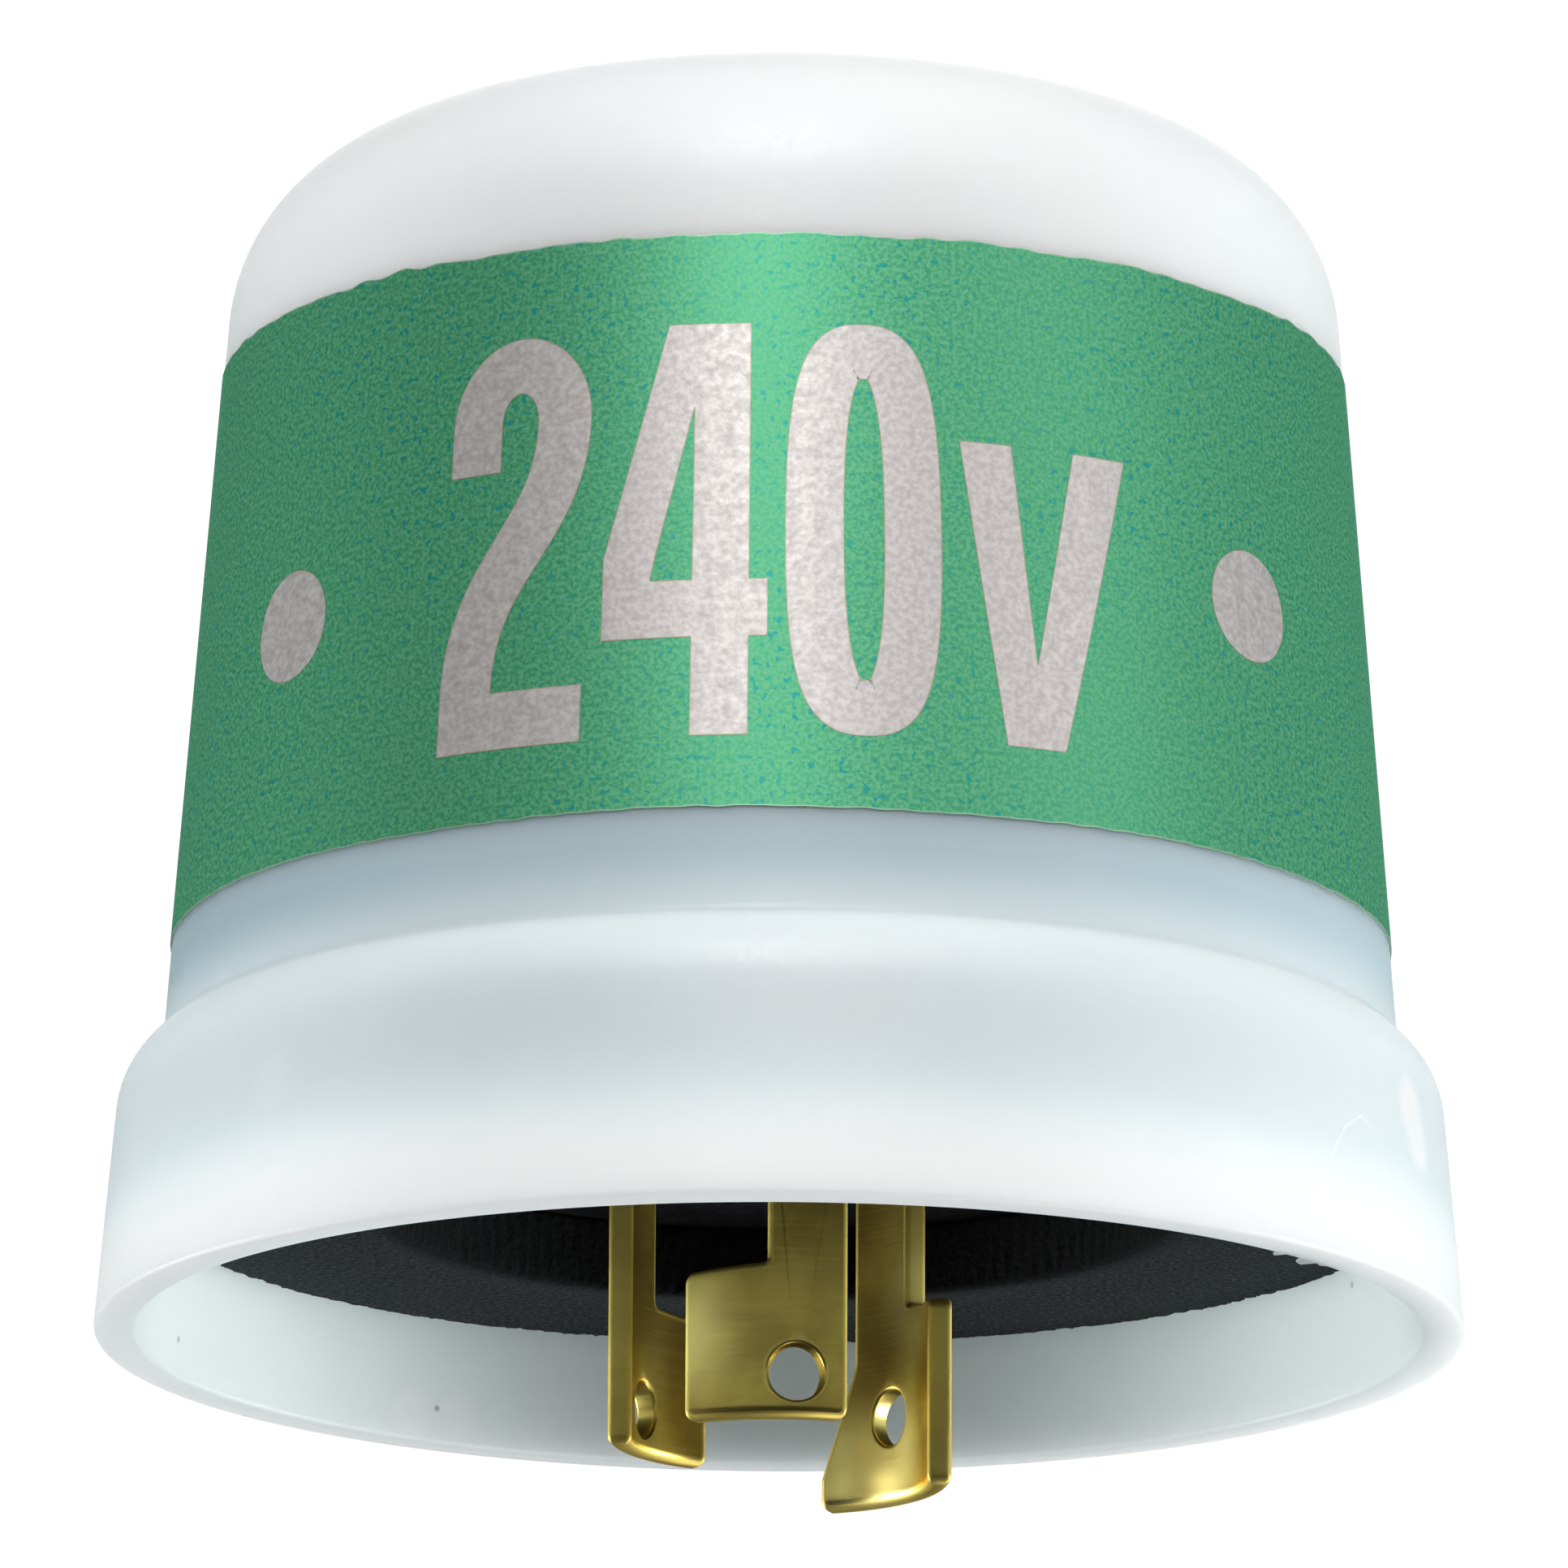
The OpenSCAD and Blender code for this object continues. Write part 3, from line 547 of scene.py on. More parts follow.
@dataclass(frozen=True)
class GreenFoil(Coat):
    """Satin green ink over metal foil: a fine grain of darker teal specks and a lighter leaf green."""

    leaf: Colour = (0.113, 0.408, 0.213)
    deep: Colour = (0.043, 0.305, 0.148)
    teal: Colour = (0.004, 0.27, 0.24)
    cut_edge: Colour = (0.36, 0.52, 0.36)
    metal: float = 0.54

    def paint(self, r: Recipe) -> None:
        """Fills the recipe: grain, then specks that come and go in drifts, then the cut edges.

        Args:
            r: Recipe of the material.
        """
        where = r.coords(Coords.UV)
        fine = r.noise(where, 3.6, 2.0, 0.6)
        speck = r.noise(where, 2.1, 1.0)
        drift = r.noise(where, 0.05)
        colour = r.mix(r.span(fine, 0.36, 0.64), self.deep, self.leaf)
        dark = r.times(r.span(speck, 0.60, 0.68), r.span(drift, 0.30, 0.62, 0.35, 1.0))
        colour = r.mix(dark, colour, self.teal)
        colour = r.mix(r.mark(), colour, self.cut_edge)
        r.set(Base_Color=colour, Metallic=self.metal, Roughness=r.vary(fine, 0.45, 0.56))
        r.bump(r.noise(where, 1.3, 3.0), 0.12, 0.04)


@dataclass(frozen=True)
class BareFoil(Coat):
    """Bare silver foil of the figures: pale, a little warm, with the cover's grain showing through."""

    light: Colour = (0.56, 0.53, 0.515)
    shade: Colour = (0.46, 0.43, 0.415)
    border: Colour = (0.36, 0.30, 0.20)
    metal: float = 0.55

    def paint(self, r: Recipe) -> None:
        """Fills the recipe: two greys in a grain, and a brown border.

        Args:
            r: Recipe of the material.
        """
        where = r.coords(Coords.UV)
        peel = r.noise(where, 1.1, 3.0)
        colour = r.mix(r.span(r.noise(where, 2.6), 0.35, 0.65), self.shade, self.light)
        colour = r.mix(r.span(r.mark(), 0.35, 1.0), colour, self.border)
        r.set(Base_Color=colour, Metallic=self.metal, Roughness=r.vary(peel, 0.44, 0.58))
        r.bump(peel, 0.28, 0.06)


@dataclass(frozen=True)
class FoamFinish(Coat):
    """Black sponge foam: open pores and pale specks, and painted shade in its bore."""

    dark: Colour = (0.016, 0.0195, 0.02)
    light: Colour = (0.064, 0.076, 0.077)
    # Painted shade of the ring's bore.
    bore: Colour = (0.004, 0.0045, 0.005)
    bore_shade_share: float = 0.85

    def paint(self, r: Recipe) -> None:
        """Fills the recipe: specks in the colour, and pores and specks in the relief.

        Args:
            r: Recipe of the material.
        """
        where = r.coords(Coords.OBJECT)
        pores = r.add("ShaderNodeTexVoronoi", {"Vector": where, "Scale": 2.6}, feature="F1")
        speck = r.noise(where, 3.2, 3.0, 0.7)
        colour = r.mix(r.span(speck, 0.42, 0.72), self.dark, self.light)
        # Painted shade: the bore is darkened.
        colour = r.mix(r.span(r.mark(), 0.0, 1.0, 0.0, self.bore_shade_share), colour, self.bore)
        r.set(Base_Color=colour, Roughness=r.vary(speck, 0.82, 0.97), Specular_IOR_Level=0.08)
        r.bump(pores.outputs["Distance"], 0.4, 0.15)
        r.bump(speck, 0.3, 0.12)


@dataclass(frozen=True)
class BladeBrass(Coat):
    """Rolled brass of the blades: brushed across, browned in patches, bright along the tumbled edges.

    The edges' brightness is partly burnish and partly painted highlight. The feet carry painted
    highlights, and the stems stay brown.
    """

    bright: Colour = (0.96, 0.77, 0.22)
    plain: Colour = (0.67, 0.50, 0.112)
    grazing: Colour = (0.92, 0.74, 0.34)
    brown: ClassVar[Colour] = (0.43, 0.305, 0.068)
    # Colour of the painted highlights on the feet.
    painted_highlight: ClassVar[Colour] = (1.0, 0.82, 0.28)
    stain: ClassVar[Colour] = (0.27, 0.185, 0.06)
    # Painted highlights on the feet, then real stains and a brown patch.
    painted_highlights_and_stains: tuple[Fleck, ...] = (
        Fleck(138.0, -15.0, 6.5, 1.0, painted_highlight, 9.1, 0.35),
        Fleck(112.0, -4.5, 5.0, 1.0, painted_highlight, 10.6, 0.4),
        Fleck(-36.0, -9.0, 6.0, 0.9, painted_highlight, 10.6, 0.1),
        Fleck(131.0, -6.8, 6.0, 0.8, stain, 9.1, 0.1),
        Fleck(233.0, -5.0, 7.0, 0.8, stain, 9.1, 0.2),
        Fleck(2.0, -8.0, 6.0, 0.6, brown, 10.6, 0.1),
    )
    brush: Colour = (0.10, 6.0, 1.0)
    edge_burnish_and_highlight: float = 0.5
    edge_rough: float = 0.16

    def paint(self, r: Recipe) -> None:
        """Fills the recipe: patches, then painted highlights and stains, then brush lines and brighter
        edges.

        Args:
            r: Recipe of the material.
        """
        brushed = r.noise(r.coords(Coords.UV, self.brush), 1.0)
        patch = r.noise(r.coords(Coords.UV), 0.17, 3.0, 0.55)
        colour = r.mix(r.span(patch, 0.34, 0.66), self.brown, self.plain)
        for fleck in self.painted_highlights_and_stains:
            colour = fleck.lay(r, colour)
        colour = r.mix(r.span(brushed, 0.40, 0.75, 0.0, 0.12), colour, self.bright)
        # Edges brightened: partly burnish of the tumbled edges, partly painted highlight.
        colour = r.mix(r.times(r.span(r.mark(), 0.1, 1.0), self.edge_burnish_and_highlight), colour, self.bright)
        rough = r.plus(r.vary(brushed, 0.30, 0.36), r.span(patch, 0.34, 0.66, 0.04, 0.0))
        rough = r.plus(rough, r.span(r.mark(), 0.95, 1.0, 0.0, self.edge_rough))
        r.set(Base_Color=colour, Metallic=1.0, Roughness=rough, Specular_Tint=self.grazing)


@dataclass(frozen=True)
class Finish(Coat):
    """A plain finish of an inside piece: two colours drifting into each other, and a grain."""

    light: Colour
    dark: Colour
    metal: float = 0.0
    rough: float = 0.5
    grain: float = 1.2
    relief: float = 0.1
    stretch: Colour = (1.0, 1.0, 1.0)
    shine: float = 0.5

    def paint(self, r: Recipe) -> None:
        """Fills the recipe: the colours follow a coarse drift and the grain together.

        Args:
            r: Recipe of the material.
        """
        drift = r.noise(r.coords(Coords.OBJECT), 0.22, 3.0)
        grain = r.noise(r.coords(Coords.OBJECT, self.stretch), self.grain, 3.0, 0.6)
        blend = r.plus(r.times(drift, 0.6), r.times(grain, 0.4))
        colour = r.mix(r.span(blend, 0.36, 0.64), self.dark, self.light)
        rough = r.vary(grain, self.rough - 0.07, self.rough + 0.07)
        r.set(Base_Color=colour, Metallic=self.metal, Roughness=rough, Specular_IOR_Level=self.shine)
        r.bump(grain, self.relief, 0.05)


STRIP_BRASS = Finish((0.70, 0.55, 0.22), (0.46, 0.34, 0.12), 1.0, 0.3, 3.0, 0.1, (0.3, 0.3, 2.0))
SILVER = Finish((0.86, 0.85, 0.82), (0.66, 0.64, 0.60), 1.0, 0.22)
TINNED_WIRE = Finish((0.72, 0.72, 0.71), (0.54, 0.54, 0.53), 1.0, 0.3)

FINISHES: dict[str, Finish] = {
    "base": Finish((0.008, 0.0085, 0.010), (0.003, 0.0033, 0.004), 0.0, 0.6, 1.8, 0.25, shine=0.12),
    "blade_rivets": Finish((0.62, 0.50, 0.20), (0.40, 0.30, 0.10), 1.0, 0.3),
    "arm_post": STRIP_BRASS,
    "contact_bracket": STRIP_BRASS,
    "tie_post": Finish((0.68, 0.52, 0.20), (0.45, 0.33, 0.11), 1.0, 0.28),
    "bimetal_arm": Finish((0.58, 0.57, 0.55), (0.42, 0.40, 0.37), 1.0, 0.34, 2.0, 0.1, (0.3, 0.3, 3.0)),
    "moving_contact": SILVER,
    "fixed_contact": SILVER,
    "heater": Finish((0.66, 0.58, 0.44), (0.50, 0.42, 0.30), 0.0, 0.62, 2.2, 0.3),
    "heater_leads": TINNED_WIRE,
    "photocell": Finish((0.62, 0.30, 0.10), (0.46, 0.19, 0.06), 0.0, 0.32, 2.4, 0.05),
    "photocell_leads": TINNED_WIRE,
    "cell_bridge": Finish((0.74, 0.71, 0.62), (0.64, 0.60, 0.50), 0.0, 0.48, 1.4, 0.12),
    "bridge_screws": Finish((0.62, 0.62, 0.61), (0.42, 0.42, 0.41), 1.0, 0.28),
    "varistor": Finish((0.035, 0.09, 0.42), (0.02, 0.055, 0.28), 0.0, 0.3, 0.9, 0.15),
    "varistor_leads": TINNED_WIRE,
    "solder_joints": Finish((0.76, 0.76, 0.75), (0.55, 0.55, 0.54), 1.0, 0.26),
}


def dress(piece: bpy.types.Object, material: bpy.types.Material) -> None:
    """Gives a piece one material in all its slots."""
    piece.data.materials.clear()
    piece.data.materials.append(material)


def enter(piece: bpy.types.Object, body: str, node: str | None = None) -> None:
    """Enters a new piece in the frame: what it moves with and the node it stands for.

    Args:
        piece: The new piece.
        body: Body it moves with.
        node: CAD node it stands for, if any.
    """
    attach(piece, body)
    if node:
        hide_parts(node)
    LOG.info("%s: %d faces on %s", piece.name, len(piece.data.polygons), body)


@dataclass
class Cover:
    """The moulded cover: a leaning skirt, a rounded shoulder, a drafted body, a crown and a dome."""

    rim_r: float = 42.0
    body_inset: float = 3.95
    height: float = 75.6
    skirt_h: float = 18.0
    wall: float = 2.6
    skirt_draft: float = 4.8
    body_draft: float = 4.2
    shoulder_r: float = 5.5
    corner_r: float = 0.8
    crown_r: float = 11.6
    top_slope: float = 4.0
    rim_round: float = 0.3
    seat_depth: float = 7.7
    ledge_h: float = 15.4
    catch_top: float = 12.15
    catch_h: float = 3.0
    catch_face: float = 0.8
    catch_reach: float = 0.9
    catch_arc: float = 13.0
    catch_root: float = 0.05
    catch_angles: tuple[float, ...] = (-46.0, 74.0, 194.0)
    flash_angles: tuple[float, ...] = (
        48.5, 49.8, 50.4, 51.0, 51.5, 52.2, 53.2, 54.4, 55.6, 56.0, 57.0, 58.5,
    )
    flash_reach: tuple[float, ...] = (0.0, 0.15, 1.3, 1.5, 0.3, 0.1, 0.5, 1.5, 1.7, 0.7, 0.9, 0.0)
    flash_root: float = 0.15
    flash_h: float = 0.35
    flash_thick: float = 0.25
    steps: int = 256

    def skirt_in(self, height: float) -> float:
        """Radius of the skirt's inner wall at a height above the rim."""
        return self.rim_r - self.wall - height * math.tan(math.radians(self.skirt_draft))

    def body_out(self, height: np.ndarray) -> np.ndarray:
        """Radius of the body's outer wall at a height above the rim."""
        lean = math.tan(math.radians(self.body_draft))
        return self.rim_r - self.body_inset - (height - self.skirt_h) * lean

    def shoulder(self) -> np.ndarray:
        """The shoulder and its inside corner.

        The shoulder is an arc tangent to the skirt's wall that ends at the body's corner. The corner is a
        small arc that touches both the shoulder and the body's wall.

        Returns:
            Points in radius and height above the rim, upwards.
        """
        skirt, body = math.radians(self.skirt_draft), math.radians(self.body_draft)
        along = np.array([-math.sin(skirt), math.cos(skirt)])
        out = np.array([math.cos(skirt), math.sin(skirt)])
        foot = np.array([self.rim_r, 0.0])
        corner = np.array([self.rim_r - self.body_inset, self.skirt_h])
        up, side = (corner - foot) @ along, (corner - foot) @ out
        start = up - math.sqrt(-side * (2 * self.shoulder_r + side))
        centre = foot + start * along - self.shoulder_r * out
        body_along = np.array([-math.sin(body), math.cos(body)])
        body_out = np.array([math.cos(body), math.sin(body)])
        reach = corner - centre
        slide = reach @ body_along
        push = -slide + math.sqrt(slide * slide - 2 * self.corner_r * (reach @ body_out - self.shoulder_r))
        small = corner + push * body_along + self.corner_r * body_out
        end = math.degrees(math.atan2(small[1] - centre[1], small[0] - centre[0]))
        big = arc(centre, self.shoulder_r, self.skirt_draft, end, 16)
        fillet = arc(small, self.corner_r, 180 + end, 180 + self.body_draft, 9)
        return np.vstack([big, fillet[1:]])

    def crown(self, inset: float, count: int) -> np.ndarray:
        """The crown's arc and the dome, as far inside the outer surface as the inset.

        The crown touches the body's wall and ends at the top's slope, where the dome goes on to the axis.

        Args:
            inset: Distance from the outer surface.
            count: Points on the crown.

        Returns:
            Points in radius and height above the rim, from the wall to the axis.
        """
        lean, slope = math.radians(self.body_draft), math.radians(self.top_slope)
        radius = self.crown_r - inset
        top = self.height - inset
        wall = self.rim_r - self.body_inset - inset
        rise = math.tan(slope / 2)
        middle = wall * math.cos(lean) - (top - radius - self.skirt_h) * math.sin(lean) - radius
        middle /= math.cos(lean) - rise * math.sin(lean)
        centre = (middle, top - radius - middle * rise)
        bend = arc(centre, radius, self.body_draft, 90 - self.top_slope, count)
        edge = bend[-1]
        drop = (0.0, edge[1] - edge[0] / math.tan(slope))
        dome = arc(drop, edge[0] / math.sin(slope), 90 - self.top_slope, 90, 9)
        dome[-1, 0] = 0.0
        return np.vstack([bend, dome[1:]])

    def profile(self) -> tuple[np.ndarray, np.ndarray]:
        """The whole section, from the dome's middle outside, round the rim, to the dome's middle inside.

        Returns:
            Points in radius and height above the seat, and a mark that is one on the inside.
        """
        rim, step = self.rim_round, self.wall
        outer_rim = arc((self.rim_r - rim, rim), rim, -90, self.skirt_draft, 7)
        shoulder = self.shoulder()
        crown = self.crown(0.0, 26)
        inner = self.crown(self.wall, 14)
        widths = (self.body_out(self.ledge_h) - step, self.skirt_in(self.ledge_h))
        ledge = np.array([[width, self.ledge_h] for width in widths])
        inner_rim = arc((self.rim_r - step + rim, rim), rim, 180, 270, 7)
        outside = [outer_rim, line(outer_rim[-1], shoulder[0], 8), shoulder,
                   line(shoulder[-1], crown[0], 22), crown]
        inside = [inner[::-1], line(inner[0], ledge[0], 12), ledge,
                  line(ledge[-1], inner_rim[0], 8), inner_rim]
        halves = [np.vstack(half)[::-1] for half in (outside, inside)]
        mark = np.repeat([0.0, 1.0], [len(half) for half in halves])
        return np.vstack(halves) - np.array([0.0, self.seat_depth]), mark

    def flash(self) -> tuple[np.ndarray, np.ndarray]:
        """A thin ragged flash on the rim's inner edge: teeth whose reach inwards follows the angle.

        Returns:
            Grids of the lower and the upper face.
        """
        angle = np.linspace(self.flash_angles[0], self.flash_angles[-1], 60)
        reach = np.interp(angle, self.flash_angles, self.flash_reach)
        share = np.array([0.0, 0.5, 1.0])[:, None]
        radius = self.rim_r - self.wall + self.flash_root - (reach + self.flash_root) * share
        low = self.flash_h - self.seat_depth + 0 * radius
        thin = self.flash_thick * (1 - 0.6 * share) + 0 * radius
        return on_circle(radius, angle, low), on_circle(radius, angle, low + thin)

    def build(self) -> None:
        """Builds and dresses the cover, with the catches inside its skirt and the flash on its rim."""
        shell = Shell()
        profile, inside = self.profile()
        shell.add_turned(profile, self.steps, inside)
        high, low = self.skirt_in(self.catch_top), self.skirt_in(self.catch_top - self.catch_h)
        section = np.array([
            [high + self.catch_root, self.catch_top], [high - self.catch_reach, self.catch_top],
            [high - self.catch_reach, self.catch_top - self.catch_face],
            [low, self.catch_top - self.catch_h], [low + self.catch_root, self.catch_top - self.catch_h],
        ]) - np.array([0.0, self.seat_depth])
        for middle in self.catch_angles:
            shell.add_sector(section, middle + self.catch_arc * np.linspace(-0.5, 0.5, 9))
        shell.add_plate(*self.flash())
        piece = shell.build("cover_moulding", crease=50)
        dress(piece, CoverPlastic().make("cover plastic"))
        enter(piece, HOUSING, "cover")


@dataclass(frozen=True)
class Bar:
    """A straight stroke of a figure: its edges over its heights, and the sides where it is joined."""

    rows: tuple[float, ...]
    left: tuple[float, ...]
    right: tuple[float, ...]
    joined: str


@dataclass
class Band:
    """The foil band round the body, with hand-cut edges, and the bare-foil figures and dots on it."""

    cover: Cover
    low: float = 24.3
    high: float = 60.3
    gap: float = 0.02
    thick: float = 0.1
    seam: float = 1.2
    waver: float = 0.10
    figure_low: float = 28.75
    figure_tall: float = 25.85
    figure_lift: float = 0.012
    figure_thick: float = 0.008
    border: float = 0.16
    pen: float = 3.5
    two_at: float = -33.4
    four_at: float = -17.0
    zero_at: float = 0.2
    vee_at: float = 16.9
    dots: tuple[tuple[float, float], ...] = ((-54.3, 39.45), (50.5, 40.5))
    dot_r: float = 3.5
    steps: int = 901

    def on_band(self, angle: np.ndarray, height: np.ndarray, lift: float) -> np.ndarray:
        """Points on the band's outer face at a plug angle and a height above the rim, raised by a lift."""
        radius = self.cover.body_out(height) + self.gap + self.thick + lift
        return on_circle(radius, angle, height - self.cover.seat_depth)

    def foil(self) -> bpy.types.Object:
        """Builds the band: heights spread between two wavering edges, carried round to a seam at the back.

        Returns:
            The band.
        """
        radius = self.cover.body_out(self.low)
        half = 180 - math.degrees(self.seam / 2 / radius)
        angle = np.linspace(-half, half, self.steps)
        bottom = self.low + self.waver * (0.5 * ripple(angle, 3, 2, 9) + 0.35 * ripple(angle, 4, 30, 120))
        top = self.high + self.waver * (0.8 * ripple(angle, 5, 4, 24) + 0.55 * ripple(angle, 6, 30, 110))
        edge = np.array([0.0, 0.003, 0.006])
        share = np.concatenate([edge, np.linspace(0.03, 0.97, 24), 1 - edge[::-1]])[:, None]
        height = bottom * (1 - share) + top * share
        mark = np.where((share < 0.002) | (share > 0.998), 1.0, 0.0) + 0 * angle
        uv = np.stack([radius * np.radians(angle) + 0 * share, height], axis=-1)
        shell = Shell()
        front, back = (self.on_band(angle, height, lift) for lift in (0.0, -self.thick))
        shell.add_plate(front, back, uv, mark)
        return shell.build("band_foil")

    def add_flat(self, shell: Shell, plane: np.ndarray, start: float, joined: str = "",
                 ring: bool = False) -> None:
        """Adds a flat shape of the print, bent onto the band.

        Args:
            shell: Mesh that takes the shape.
            plane: Grid of points in millimetres, across and up from the figures' foot.
            start: Plug angle of the shape's left end.
            joined: Sides where another shape goes on, by letter: first or end row, left or right column.
            ring: The columns run once round.
        """
        middle = self.cover.body_out(self.figure_low + self.figure_tall / 2)
        spread = math.radians(1.0) * float(middle)
        angle = start + plane[..., 0] / spread
        height = self.figure_low + plane[..., 1]
        mark = np.zeros(plane.shape[:2])
        sides = {"f": np.s_[0, :], "e": np.s_[-1, :], "l": np.s_[:, 0], "r": np.s_[:, -1]}
        for letter, border in sides.items():
            if letter not in joined + ("lr" if ring else ""):
                mark[border] = 1.0
        front = self.on_band(angle, height, self.figure_lift)
        back = self.on_band(angle, height, self.figure_lift - self.figure_thick)
        shell.add_plate(front, back, plane + np.array([start, 0.0]), mark, ring)

    def shares(self, length: float, count: int) -> np.ndarray:
        """Shares of a length from 0 to 1, with a narrow border step at both ends."""
        step = min(self.border / length, 0.2)
        return np.concatenate([[0.0], np.linspace(step, 1 - step, count), [1.0]])

    def bar(self, shape: Bar) -> np.ndarray:
        """A straight stroke: points between its edges, each a broken line over the heights.

        Args:
            shape: The stroke's heights and edges.

        Returns:
            Grid of points across and up.
        """
        rows = shape.rows
        spans = zip(rows[:-1], rows[1:])
        pieces = [low + (high - low) * self.shares(high - low, 10) for low, high in spans]
        up = np.unique(np.concatenate(pieces).round(6))[:, None]
        first, last = np.interp(up, rows, shape.left), np.interp(up, rows, shape.right)
        share = self.shares(float(np.max(last - first)), 12)
        return np.stack([first + (last - first) * share, up + 0 * share], axis=-1)

    def stroke(self, path: np.ndarray, closed: bool = False) -> np.ndarray:
        """A pen stroke: points set off to both sides of a path along its normal.

        Args:
            path: Points of the path.
            closed: The path ends where it starts.

        Returns:
            Grid with a row for each share of the width and a column for each point of the path.
        """
        ends = np.vstack([path[-2:-1], path, path[1:2]]) if closed else path
        slope = np.gradient(ends, axis=0)
        slope = slope[1:-1] if closed else slope
        slope /= np.linalg.norm(slope, axis=-1, keepdims=True)
        normal = np.stack([-slope[:, 1], slope[:, 0]], axis=-1)
        side = (self.shares(self.pen, 8)[:, None, None] - 0.5) * self.pen
        grid = path + side * normal
        return grid[:, :-1] if closed else grid

    def dot(self, up: float) -> np.ndarray:
        """A round dot: a square grid drawn to a disc by x sqrt(1 - y y / 2) and y sqrt(1 - x x / 2).

        Args:
            up: Height of the dot's middle above the figures' foot.

        Returns:
            Grid of points across and up.
        """
        side = 2 * self.shares(2 * self.dot_r, 14) - 1
        x, y = np.meshgrid(side, side)
        disc = np.stack([x * np.sqrt(1 - y * y / 2), y * np.sqrt(1 - x * x / 2)], axis=-1)
        return np.array([0.0, up]) + self.dot_r * disc

    def two_path(self) -> np.ndarray:
        """The pen's path for the figure 2: a lead, a half ellipse, and a cubic curve down to the foot.

        Returns:
            Points across and up.
        """
        tall = self.figure_tall
        lead = np.array([[1.75, tall - 8.4], [1.75, tall - 8.25], [1.75, tall - 7.0]])
        turn = np.linspace(math.pi, 0, 40)
        hook = np.stack([4.7 + 2.95 * np.cos(turn), tall - 5.4 + 3.6 * np.sin(turn)], axis=-1)
        share = np.linspace(0, 1, 40)[1:, None]
        start, lean_in = np.array([7.65, tall - 5.4]), np.array([7.65, tall - 13.0])
        lean_out, end = np.array([1.75, tall - 14.0]), np.array([1.75, 3.6])
        sweep = (start * (1 - share) ** 3 + 3 * lean_in * share * (1 - share) ** 2
                 + 3 * lean_out * share ** 2 * (1 - share) + end * share ** 3)
        return np.vstack([lead, hook, sweep])

    def zero_path(self) -> np.ndarray:
        """The pen's path for the figure 0: an oval made fuller by powers of sine and cosine below one.

        Returns:
            Points across and up.
        """
        turn = np.linspace(0, 2 * math.pi, 129)
        half, high = 2.95, self.figure_tall / 2 - self.pen / 2
        across = half * np.sign(np.cos(turn)) * np.abs(np.cos(turn)) ** 0.62
        up = high * np.sign(np.sin(turn)) * np.abs(np.sin(turn)) ** 0.78
        return np.stack([half + self.pen / 2 + across, self.figure_tall / 2 + up], axis=-1)

    def figures(self) -> bpy.types.Object:
        """Builds the plain rating figures and the two dots as thin shapes on the band.

        Returns:
            The figures and dots, as one piece.
        """
        beam, top = (6.15, 9.75), (20.6, self.figure_tall)
        low, high = (0, 5.25), (5.25, 18.9)
        two = (Bar((0, 3.6), (0, 0), (3.5, 3.5), "er"), Bar((0, 3.6), (3.5, 3.5), (9.3, 9.3), "l"))
        four = (
            Bar(beam, (0, 0), (2.9, 2.9), "er"),
            Bar(beam, (2.9, 2.9), (5.4, 5.4), "lr"),
            Bar(beam, (5.4, 5.4), (8.8, 8.8), "felr"),
            Bar(beam, (8.8, 8.8), (9.9, 9.9), "l"),
            Bar((0, 6.15), (5.4, 5.4), (8.8, 8.8), "e"),
            Bar((9.75, 20.6), (5.4, 5.4), (8.8, 8.8), "fe"),
            Bar(top, (5.4, 5.4), (8.8, 8.8), "fl"),
            Bar((9.75, 11.3, 20.6), (0, 0, 2.4), (2.9, 3.2, 5.4), "fe"),
            Bar(top, (2.4, 3.75), (5.4, 5.4), "fr"),
        )
        vee = (
            Bar(low, (2.6, 1.88), (4.45, 4.65), "er"),
            Bar(low, (4.45, 4.65), (6.3, 7.66), "el"),
            Bar(high, (1.88, 0), (4.65, 3.35), "f"),
            Bar(high, (4.65, 7.5), (7.66, 11.2), "f"),
        )
        shell = Shell()
        self.add_flat(shell, self.stroke(self.two_path()), self.two_at, "r")
        self.add_flat(shell, self.stroke(self.zero_path(), closed=True), self.zero_at, ring=True)
        for start, bars in ((self.two_at, two), (self.four_at, four), (self.vee_at, vee)):
            for bar in bars:
                self.add_flat(shell, self.bar(bar), start, bar.joined)
        for angle, height in self.dots:
            self.add_flat(shell, self.dot(height - self.figure_low), angle)
        return shell.build("band_figures")

    def build(self) -> None:
        """Builds and dresses the band and its figures."""
        foil = self.foil()
        dress(foil, GreenFoil().make("green foil"))
        enter(foil, HOUSING, "label_band")
        figures = self.figures()
        dress(figures, BareFoil().make("bare foil"))
        enter(figures, HOUSING)


